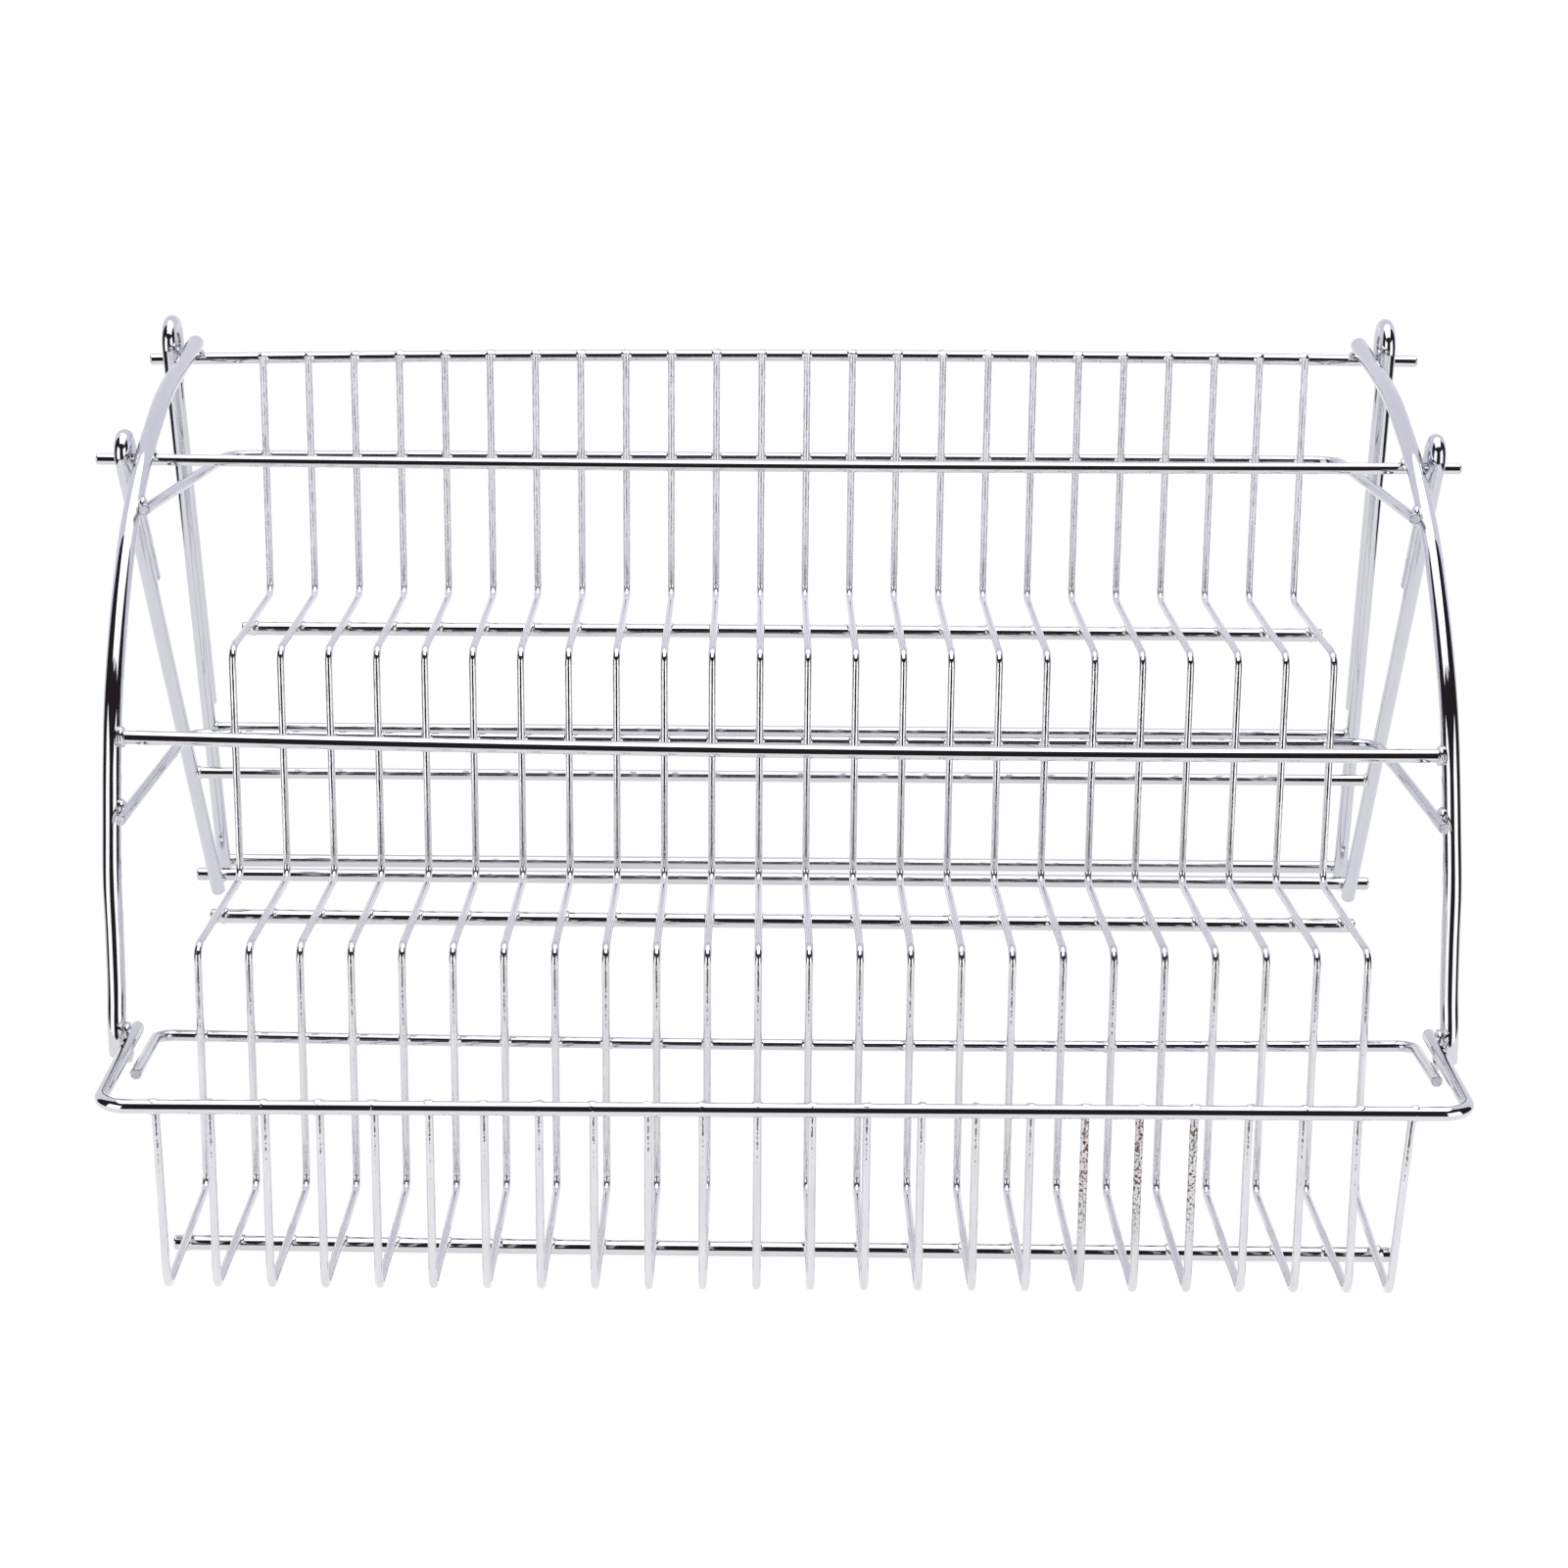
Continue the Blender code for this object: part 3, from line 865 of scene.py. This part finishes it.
frame_outside = side_frame_half + SIDE_FRAME_RADIUS


def side_frames():
    """The two thick bent rods that the rails, hoops and rim are welded to."""
    up = leaned_way(0.0, 0.0, 1.0)
    set_from = foot_up + frame_height * SIDE_FRAME_SET_SHARE
    for side, sign, top_set in zip(("left", "right"), (-1, 1), SIDE_FRAME_TOP_SETS):
        path = []
        for at in flowing(side_frame_path):
            share = max(0.0, (at[1] - set_from) / (frame_top_up - set_from))
            path.append(racked(sign * side_frame_half, at) + up * top_set * share)
        rod(
            f"side_frame_{side}",
            "rack",
            path,
            SIDE_FRAME_RADIUS,
            SIDE_FRAME_CHROME,
            edge_shares=DRESSED_EDGE_SHARES,
        )


def by_side_frame(share, inset):
    """A point at this share along the side frame's path, moved in behind it by the inset."""
    corner, past_corner = divmod(share * (len(side_frame_path) - 1), 1)
    start, end = side_frame_path[int(corner)], side_frame_path[int(corner) + 1]
    run = (end - start).normalized()
    return start.lerp(end, past_corner) + Vector((-run.y, run.x)) * inset


# Rails: the top rail and the upper guard rail end in the hinge pins
front_eye_half = frame_outside + FRONT_EYE_SIDE_CLEARANCE + ARM_RADIUS
rear_eye_half = frame_outside + REAR_EYE_SIDE_CLEARANCE + ARM_RADIUS
under_frame = SIDE_FRAME_RADIUS + UPPER_GUARD_RADIUS + WELD_GAP
upper_guard_at = by_side_frame(UPPER_GUARD_SHARE, under_frame)
lower_guard_at = by_side_frame(LOWER_GUARD_SHARE, LOWER_GUARD_INSET)
top_rail_half = rear_eye_half + ARM_RADIUS + REAR_PIN_OVERHANG
upper_guard_half = front_eye_half + ARM_RADIUS + FRONT_PIN_OVERHANG


def rails():
    """The top rail behind the wires and the two guard rails across the open front."""
    runs = (
        ("top_rail", top_rail_at, top_rail_half, TOP_RAIL_RADIUS, leaned, TOP_RAIL_SET),
        ("upper_guard_rail", upper_guard_at, upper_guard_half, UPPER_GUARD_RADIUS, racked, UPPER_GUARD_SET),
        ("lower_guard_rail", lower_guard_at, frame_inside, LOWER_GUARD_RADIUS, racked, LOWER_GUARD_SET),
    )
    for name, at, half, radius, place, shifts in runs:
        path = set_by_hand([place(-half, at), place(half, at)], leaned_way(0.0, 0.0, 1.0), shifts)
        rod(name, "rack", path, radius, RAIL_CHROME)


# Hoops behind the walls of the three tiers, with cut ends towards the front
hoop_outside = frame_inside - HOOP_RADIUS
behind_wires = TIER_WIRE_RADIUS + HOOP_RADIUS + WELD_GAP
wall_tops = (wire_top_up, upper_front_up, LOWER_STEP_HEIGHT)
hoop_back_at = {}
hoop_tip_at = {}
for floor, wall_top, up_share, tip_shares in zip(floors, wall_tops, HOOP_UP_SHARES, HOOP_TIP_SHARES):
    tier, front, front_up, rear, rear_up = floor
    reach_share, rise_share = tip_shares
    wall_height = wall_top - rear_up
    up = rear_up + wall_height * up_share
    hoop_back_at[tier] = (rear + behind_wires, up)
    hoop_tip_at[tier] = (front - (rear - front) * reach_share, up + wall_height * rise_share)


def tier_hoops():
    """The hoops round the back and sides of each tier, which keep bottles from tipping out."""
    up = leaned_way(0.0, 0.0, 1.0)
    sizes = zip(hoop_back_at, HOOP_BACK_INSETS, HOOP_TIP_INSETS, HOOP_BEND_RADII, HOOP_SETS)
    for tier, (left_back, right_back), (left_inset, right_inset), bend_radius, shifts in sizes:
        corners = [
            racked(left_inset - hoop_outside, hoop_tip_at[tier]),
            leaned(left_back - hoop_outside, hoop_back_at[tier]),
            leaned(hoop_outside - right_back, hoop_back_at[tier]),
            racked(hoop_outside - right_inset, hoop_tip_at[tier]),
        ]
        side_run = (corners[1] - corners[0]).y
        path = []
        for point in stepped(bent(corners, bend_radius)):
            back_share = max(0.0, 1 - (corners[1] - point).y / side_run)
            path.append(point + up * shift_at(point.x / hoop_outside, shifts) * back_share)
        # The hoops' chrome is darker as painted shade of the table under the rack
        rod(f"{tier}_tier_hoop", "rack", path, HOOP_RADIUS, HOOP_CHROME_WITH_PAINTED_SHADE)


# Front rim, bent back at both ends to the side frames
rim_half = frame_inside - RIM_RADIUS - RIM_INSET
rim_end = (foot_back + RIM_END_OVERHANG, rim_front[1] + RIM_END_RISE)


def front_rim():
    """The rim along the top of the front wires, with its returns to the side frames."""
    corners = [
        racked(-rim_half, rim_end),
        racked(-rim_half, rim_front),
        racked(rim_half, rim_front),
        racked(rim_half, rim_end),
    ]
    rod("front_rim", "rack", bent(corners, RIM_BEND_RADIUS), RIM_RADIUS, RIM_CHROME)


# The table's height under the leaned basket: the lowest point of the bends at the lowest floor
bend_centre = leaned(0.0, (step_back - TIER_BEND_RADIUS, TIER_BEND_RADIUS))
table_up = bend_centre.z - TIER_BEND_RADIUS - TIER_WIRE_RADIUS


def swing_frame(name, pivot, pin_radius, rest, eye_half, eye, bar_lift, shares, sets):
    """Two arms with eyes round the pins, a brace between them and a bottom bar behind them.

    eye is the eyes' clearance, rise and shift, shares is how far down the arms the brace and the
    tails' ends are, and sets is the eyes' lifts and stretches and the bottom bar's set.
    """
    body = f"{name}_frame"
    eye_clearance, eye_rise, eye_shift = eye
    brace_share, tail_share = shares
    lifts, stretches, bar_set = sets
    eye_radius = pin_radius + eye_clearance + ARM_RADIUS
    arm_back = eye_shift - eye_radius
    tail_back = arm_back + ARM_RADIUS + ARM_RADIUS + WELD_GAP
    front_edge = ARM_RADIUS - arm_back
    reach = (pivot.z - table_up - front_edge * math.sin(rest)) / math.cos(rest)
    turned = Matrix.Rotation(rest, 3, "X")
    eye_path = [(arm_back, -reach), (arm_back, eye_rise)]
    for step in range(1, EYE_STEPS + 1):
        angle = math.pi * (1 - step / EYE_STEPS)
        eye_path.append((eye_shift + eye_radius * math.cos(angle), eye_rise + eye_radius * math.sin(angle)))
    neck_drop = pin_radius + ARM_RADIUS + EYE_NECK_CLEARANCE
    neck = [Vector(eye_path[-1])]
    for out_share, down_share in EYE_NECK_SHARES:
        neck_back = tail_back + (eye_shift + eye_radius - tail_back) * out_share
        neck.append(Vector((neck_back, neck_drop * down_share)))
    eye_path += [tuple(point) for point in flowing(neck)[1:]]
    eye_path.append((tail_back, -reach * tail_share))
    foot_half = frame_outside + ARM_FOOT_SIDE_CLEARANCE + ARM_RADIUS

    def hung(half, back, up):
        """A point of the frame, which is a little out of square too."""
        return pivot + turned @ Vector((half + HINGE_SHIFT - up * SWING_SKEW_SHARE, back, up))

    def arm_half(up):
        """How far out from the middle the arms stand at this height."""
        return eye_half + (foot_half - eye_half) * -up / reach

    for side, sign, lift, stretch in zip(("left", "right"), (-1, 1), lifts, stretches):
        path = []
        for back, up in eye_path:
            rise = lift * max(0.0, 1 + up / reach) + stretch * max(0.0, up)
            path.append(hung(sign * arm_half(up), back, up) + turned.col[2] * rise)
        rod(f"{name}_arm_{side}", body, path, ARM_RADIUS, ARM_CHROME)
    brace_up = -reach * brace_share
    brace_half = arm_half(brace_up) - ARM_RADIUS - WELD_GAP
    brace = [hung(half, arm_back, brace_up) for half in (-brace_half, brace_half)]
    rod(f"{name}_brace", body, brace, BRACE_RADIUS, BAR_CHROME)
    bar_back = arm_back + ARM_RADIUS + SWING_BAR_RADIUS + WELD_GAP
    bar_half = foot_half + ARM_RADIUS + SWING_BAR_OVERHANG
    bar = [hung(half, bar_back, bar_lift - reach) for half in (-bar_half, bar_half)]
    bar = set_by_hand(bar, turned.col[2], bar_set)
    rod(f"{name}_bottom_bar", body, bar, SWING_BAR_RADIUS, BAR_CHROME)

    # Beads between the arms and the brace, the bar and the arms' own tails
    along, back_way, up_way = Vector((1.0, 0.0, 0.0)), turned.col[1], turned.col[2]
    bar_up = bar_lift - reach
    tail_up = -reach * tail_share + ARM_RADIUS
    behind_arm = arm_back + ARM_RADIUS + WELD_GAP / 2
    bar_halves = (THICK_BEAD, bar_lift * BAR_BEAD_SHARE, BUTT_BEAD)
    beads = []
    for sign in (-1, 1):
        by_brace = hung(sign * (brace_half + WELD_GAP), arm_back, brace_up)
        beads.append((by_brace, (up_way, back_way, along), (BRACE_BEAD, BRACE_BEAD, BUTT_BEAD)))
        by_bar = hung(sign * arm_half(bar_up), behind_arm, bar_up) + up_way * shift_at(sign, bar_set)
        beads.append((by_bar, (along, up_way, back_way), bar_halves))
        by_tail = hung(sign * arm_half(tail_up), behind_arm, tail_up)
        beads.append((by_tail, (up_way, along, back_way), (TAIL_BEAD, BUTT_BEAD, BUTT_BEAD)))
    weld_beads(f"weld_beads_{name}_frame", body, beads)


def swing_frames():
    """The frame that carries the basket's front and the one that carries its back."""
    swing_frame(
        "front_swing",
        leaned(0.0, upper_guard_at),
        UPPER_GUARD_RADIUS,
        FRONT_REST_LEAN,
        front_eye_half,
        (FRONT_EYE_CLEARANCE, FRONT_EYE_RISE, FRONT_EYE_SHIFT),
        FRONT_BAR_LIFT,
        (FRONT_BRACE_SHARE, FRONT_TAIL_SHARE),
        (FRONT_EYE_LIFTS, FRONT_EYE_STRETCHES, FRONT_BAR_SET),
    )
    swing_frame(
        "rear_swing",
        leaned(0.0, top_rail_at),
        TOP_RAIL_RADIUS,
        REAR_REST_LEAN,
        rear_eye_half,
        (REAR_EYE_CLEARANCE, REAR_EYE_RISE, REAR_EYE_SHIFT),
        REAR_BAR_LIFT,
        (REAR_BRACE_SHARE, REAR_TAIL_SHARE),
        (REAR_EYE_LIFTS, UNSTRETCHED, STRAIGHT),
    )


def crossing(start, end):
    """Where this line of the floor frame crosses the side frames."""
    start, end = Vector(start), Vector(end)
    for before, after in zip(side_frame_path, side_frame_path[1:]):
        found = geometry.intersect_line_line_2d(start, end, before, after)
        if found:
            return found
    return end


def basket_welds():
    """The beads that join the basket's rods: spot welds on the wires, larger ones on the frames."""
    right, back, up = leaned_way(1.0, 0.0, 0.0), leaned_way(0.0, 1.0, 0.0), leaned_way(0.0, 0.0, 1.0)
    ahead, above, behind = Vector((-1.0, 0.0)), Vector((0.0, 1.0)), Vector((1.0, 0.0))
    rows = [("top_rail", "rails", top_rail_at, TOP_RAIL_RADIUS, ahead, up, TOP_RAIL_SET, top_rail_half)]
    for (tier, at), shifts in zip(hoop_back_at.items(), HOOP_SETS):
        name = f"{tier}_tier_hoop"
        rows.append((name, "tier_hoops", at, HOOP_RADIUS, ahead, up, shifts, hoop_outside))
    for (tier, at), shifts in zip(cross_wire_at.items(), CROSS_WIRE_SETS):
        name = f"{tier}_cross_wire"
        rows.append((name, "cross_wires", at, CROSS_WIRE_RADIUS, above, back, shifts, tier_half))
    rows.append(("front_rim", "rim", rim_front, RIM_RADIUS, behind, up, STRAIGHT, tier_half))
    for name, slot, at, radius, wire_side, way, shifts, half in rows:
        centre = Vector(at) + wire_side * SPOT_SHIFT
        halves = (SPOT_BEAD, radius + SPOT_BEAD_RISE, radius + SPOT_BEAD_RISE)
        beads = []
        for number in range(TIER_WIRE_COUNT):
            place = leaned(wire_x(number), centre) + way * shift_at(wire_x(number) / half, shifts)
            beads.append((place, (right, back, up), halves))
        weld_beads(f"weld_beads_{name}", "rack", beads)

    beads = []
    for sign in (-1, 1):
        over_rail = (top_rail_at[0], top_rail_at[1] + TOP_RAIL_RADIUS + WELD_GAP / 2)
        halves = (THICK_BEAD, THICK_BEAD, BUTT_BEAD)
        on_rail = racked(sign * side_frame_half, over_rail)
        on_rail += up * shift_at(sign * side_frame_half / top_rail_half, TOP_RAIL_SET)
        beads.append((on_rail, (right, back, up), halves))
        under = by_side_frame(UPPER_GUARD_SHARE, SIDE_FRAME_RADIUS + WELD_GAP / 2)
        beads.append((racked(sign * side_frame_half, under), (right, back + up, back - up), halves))
        guard_end = racked(sign * frame_inside, lower_guard_at) + up * shift_at(sign, LOWER_GUARD_SET)
        beads.append((guard_end, (back, up, right), halves))
        for tier in hoop_back_at:
            at = crossing(hoop_back_at[tier], hoop_tip_at[tier])
            beads.append((racked(sign * frame_inside, at), (back, up, right), halves))
        at = crossing(rim_front, rim_end)
        beads.append((racked(sign * frame_inside, at), (back, up, right), halves))
    weld_beads("weld_beads_side_frames", "rack", beads)


# Camera
SENSOR = 36.0
LENS = 73.46
CAMERA_PLACE = Vector((-9.2 * MM, -983.9 * MM, 567.0 * MM))
CAMERA_DOWN = math.radians(24.88)
CAMERA_TURN = math.radians(-0.555)
CAMERA_ROLL = math.radians(0.615)

# White surroundings: their fill light, and their colour in the chrome and away from the camera
AMBIENT = 0.60
WHITE = "#FFFFFF"
BACKDROP_COLOUR = "#EFF0FA"

# White table: its front edge is where the dark bands of the rods begin
TABLE_COLOUR = "#F8F8FA"
TABLE_FRONT = -465.0 * MM
TABLE_BACK = 900.0 * MM
TABLE_HALF = 530.0 * MM
TABLE_GLOW_SHARE = 0.80
TABLE_GLOW = 1.12
# Its glow in the chrome under and behind the rack, dimmer as painted shade, and the depths over which that
# painted shade comes in
TABLE_GLOW_IN_PAINTED_SHADE = 1.02
TABLE_PAINTED_SHADE_FADES = (-170.0 * MM, 60.0 * MM)

# Dark studio walls in front and at the sides
WALL_COLOUR = "#2A2527"
WALL_RADIUS = 3400.0 * MM
WALL_LOW = -3000.0 * MM
WALL_HIGH = 6800.0 * MM
WALL_REACH = math.radians(113.0)
WALL_STEPS = 32

# Soft lights: radiance, and where each one stands and how large it is
SOFT_RADIANCE = 1.5
OVERHEAD_UP = 980.0 * MM
OVERHEAD_FRONT = -385.0 * MM
OVERHEAD_REAR = 620.0 * MM
OVERHEAD_HALF = 560.0 * MM
PANEL_INNER = Vector((1150.0 * MM, -2450.0 * MM))
PANEL_OUTER = Vector((2450.0 * MM, -1050.0 * MM))
PANEL_LOW = -600.0 * MM
PANEL_HIGH = 1750.0 * MM


def camera():
    """The camera at the photograph's height and angle."""
    data = bpy.data.cameras.new("camera")
    data.sensor_width = SENSOR
    data.lens = LENS
    eye = bpy.data.objects.new("camera", data)
    bpy.context.scene.collection.objects.link(eye)
    turn = Matrix.Rotation(CAMERA_TURN, 4, "Z")
    tilt = Matrix.Rotation(math.pi / 2 - CAMERA_DOWN, 4, "X")
    roll = Matrix.Rotation(CAMERA_ROLL, 4, "Z")
    eye.matrix_world = Matrix.Translation(CAMERA_PLACE) @ turn @ tilt @ roll
    bpy.context.scene.camera = eye


def seen_directly_or_in_chrome(tree):
    """1 for what the camera sees, straight or through a shiny or clear surface, and 0 for fill light."""
    path = add_node(tree, "ShaderNodeLightPath")
    add = {"operation": "ADD", "use_clamp": True}
    straight = add_node(
        tree, "ShaderNodeMath", add, {0: path.outputs["Is Camera Ray"], 1: path.outputs["Is Glossy Ray"]}
    )
    return add_node(
        tree, "ShaderNodeMath", add, {0: straight.outputs[0], 1: path.outputs["Is Transmission Ray"]}
    ).outputs[0]


def stage_sheet(name, corners, faces, material):
    """One thin sheet of the stage."""
    data = bpy.data.meshes.new(name)
    data.from_pydata(corners, [], faces)
    data.materials.append(material)
    sheet = bpy.data.objects.new(name, data)
    bpy.context.scene.collection.objects.link(sheet)
    return sheet


def table():
    """The white table, which keeps a faint shadow of the rack."""
    material = bpy.data.materials.new("white_table_paper")
    material.use_nodes = True
    tree = material.node_tree
    paper = add_node(tree, "ShaderNodeBsdfDiffuse", inputs={"Color": linear(TABLE_COLOUR)})
    # In the chrome it glows fainter under and behind the rack: painted shade, where less light falls
    place = add_node(tree, "ShaderNodeNewGeometry").outputs["Position"]
    painted_shade_fade = add_node(
        tree,
        "ShaderNodeMapRange",
        SMOOTH,
        {
            "Value": add_node(tree, "ShaderNodeSeparateXYZ", inputs={0: place}).outputs["Y"],
            "From Min": TABLE_PAINTED_SHADE_FADES[0],
            "From Max": TABLE_PAINTED_SHADE_FADES[1],
            "To Min": TABLE_GLOW,
            "To Max": TABLE_GLOW_IN_PAINTED_SHADE,
        },
    )
    strength = add_node(
        tree,
        "ShaderNodeMapRange",
        inputs={
            "Value": add_node(tree, "ShaderNodeLightPath").outputs["Is Camera Ray"],
            "To Min": painted_shade_fade.outputs["Result"],
            "To Max": TABLE_GLOW,
        },
    )
    glow = add_node(
        tree,
        "ShaderNodeEmission",
        inputs={"Color": linear(WHITE), "Strength": strength.outputs["Result"]},
    )
    share = add_node(
        tree, "ShaderNodeMath", MULTIPLY, {0: seen_directly_or_in_chrome(tree), 1: TABLE_GLOW_SHARE}
    )
    mixed = add_node(
        tree,
        "ShaderNodeMixShader",
        inputs={0: share.outputs[0], 1: paper.outputs[0], 2: glow.outputs[0]},
    )
    tree.links.new(mixed.outputs[0], tree.nodes["Material Output"].inputs["Surface"])
    corners = [
        (-TABLE_HALF, TABLE_FRONT, 0.0),
        (TABLE_HALF, TABLE_FRONT, 0.0),
        (TABLE_HALF, TABLE_BACK, 0.0),
        (-TABLE_HALF, TABLE_BACK, 0.0),
    ]
    stage_sheet("white_table", corners, [(0, 1, 2, 3)], material)


def dark_studio_walls():
    """The unlit studio in front of the table and beside it, which only the chrome shows."""
    material = bpy.data.materials.new("unlit_wall")
    material.use_nodes = True
    tree = material.node_tree
    dark = add_node(tree, "ShaderNodeEmission", inputs={"Color": linear(WALL_COLOUR), "Strength": 1.0})
    tree.links.new(dark.outputs[0], tree.nodes["Material Output"].inputs["Surface"])
    corners = []
    faces = []
    for step in range(WALL_STEPS + 1):
        azimuth = WALL_REACH * (2 * step / WALL_STEPS - 1)
        x = WALL_RADIUS * math.sin(azimuth)
        y = -WALL_RADIUS * math.cos(azimuth)
        corners += [(x, y, WALL_LOW), (x, y, WALL_HIGH)]
        if step:
            faces.append((2 * step - 2, 2 * step, 2 * step + 1, 2 * step - 1))
    walls = stage_sheet("dark_studio_walls", corners, faces, material)
    walls.visible_camera = False
    walls.visible_diffuse = False
    walls.visible_shadow = False


def soft_light(name, place, facing, width, height):
    """One soft box, seen in the chrome as a white band and not by the camera."""
    data = bpy.data.lights.new(name, "AREA")
    data.shape = "RECTANGLE"
    data.size = width
    data.size_y = height
    data.energy = SOFT_RADIANCE * math.pi * width * height
    lamp = bpy.data.objects.new(name, data)
    lamp.location = place
    lamp.rotation_euler = Vector(facing).to_track_quat("-Z", "Y").to_euler()
    lamp.visible_camera = False
    bpy.context.scene.collection.objects.link(lamp)


def soft_lights():
    """A soft box overhead and a tall soft panel on each side of the camera."""
    soft_light(
        "overhead_softbox",
        (0.0, (OVERHEAD_FRONT + OVERHEAD_REAR) / 2, OVERHEAD_UP),
        (0.0, 0.0, -1.0),
        2 * OVERHEAD_HALF,
        OVERHEAD_REAR - OVERHEAD_FRONT,
    )
    middle = (PANEL_INNER + PANEL_OUTER) / 2
    run = PANEL_OUTER - PANEL_INNER
    for side, sign in (("left", -1), ("right", 1)):
        soft_light(
            f"front_panel_{side}",
            (sign * middle.x, middle.y, (PANEL_LOW + PANEL_HIGH) / 2),
            (-sign * run.y, run.x, 0.0),
            run.length,
            PANEL_HIGH - PANEL_LOW,
        )


def white_surroundings():
    """White all round for the camera and the chrome, and a softer fill for the table."""
    world = bpy.data.worlds.new("white_studio")
    world.use_nodes = True
    tree = world.node_tree
    strength = add_node(
        tree,
        "ShaderNodeMapRange",
        inputs={"Value": seen_directly_or_in_chrome(tree), "To Min": AMBIENT, "To Max": 1.0},
    )
    path = add_node(tree, "ShaderNodeLightPath")
    colour = add_node(
        tree,
        "ShaderNodeMix",
        MIX_COLOURS,
        {"Factor": path.outputs["Is Camera Ray"], "A": linear(BACKDROP_COLOUR), "B": linear(WHITE)},
    )
    background = tree.nodes["Background"]
    tree.links.new(colour.outputs["Result"], background.inputs["Color"])
    tree.links.new(strength.outputs["Result"], background.inputs["Strength"])
    bpy.context.scene.world = world


camera()
table()
dark_studio_walls()
soft_lights()
white_surroundings()
bpy.context.scene.view_settings.view_transform = "Standard"

tier_wires()
cross_wires()
side_frames()
rails()
tier_hoops()
front_rim()
basket_welds()
swing_frames()
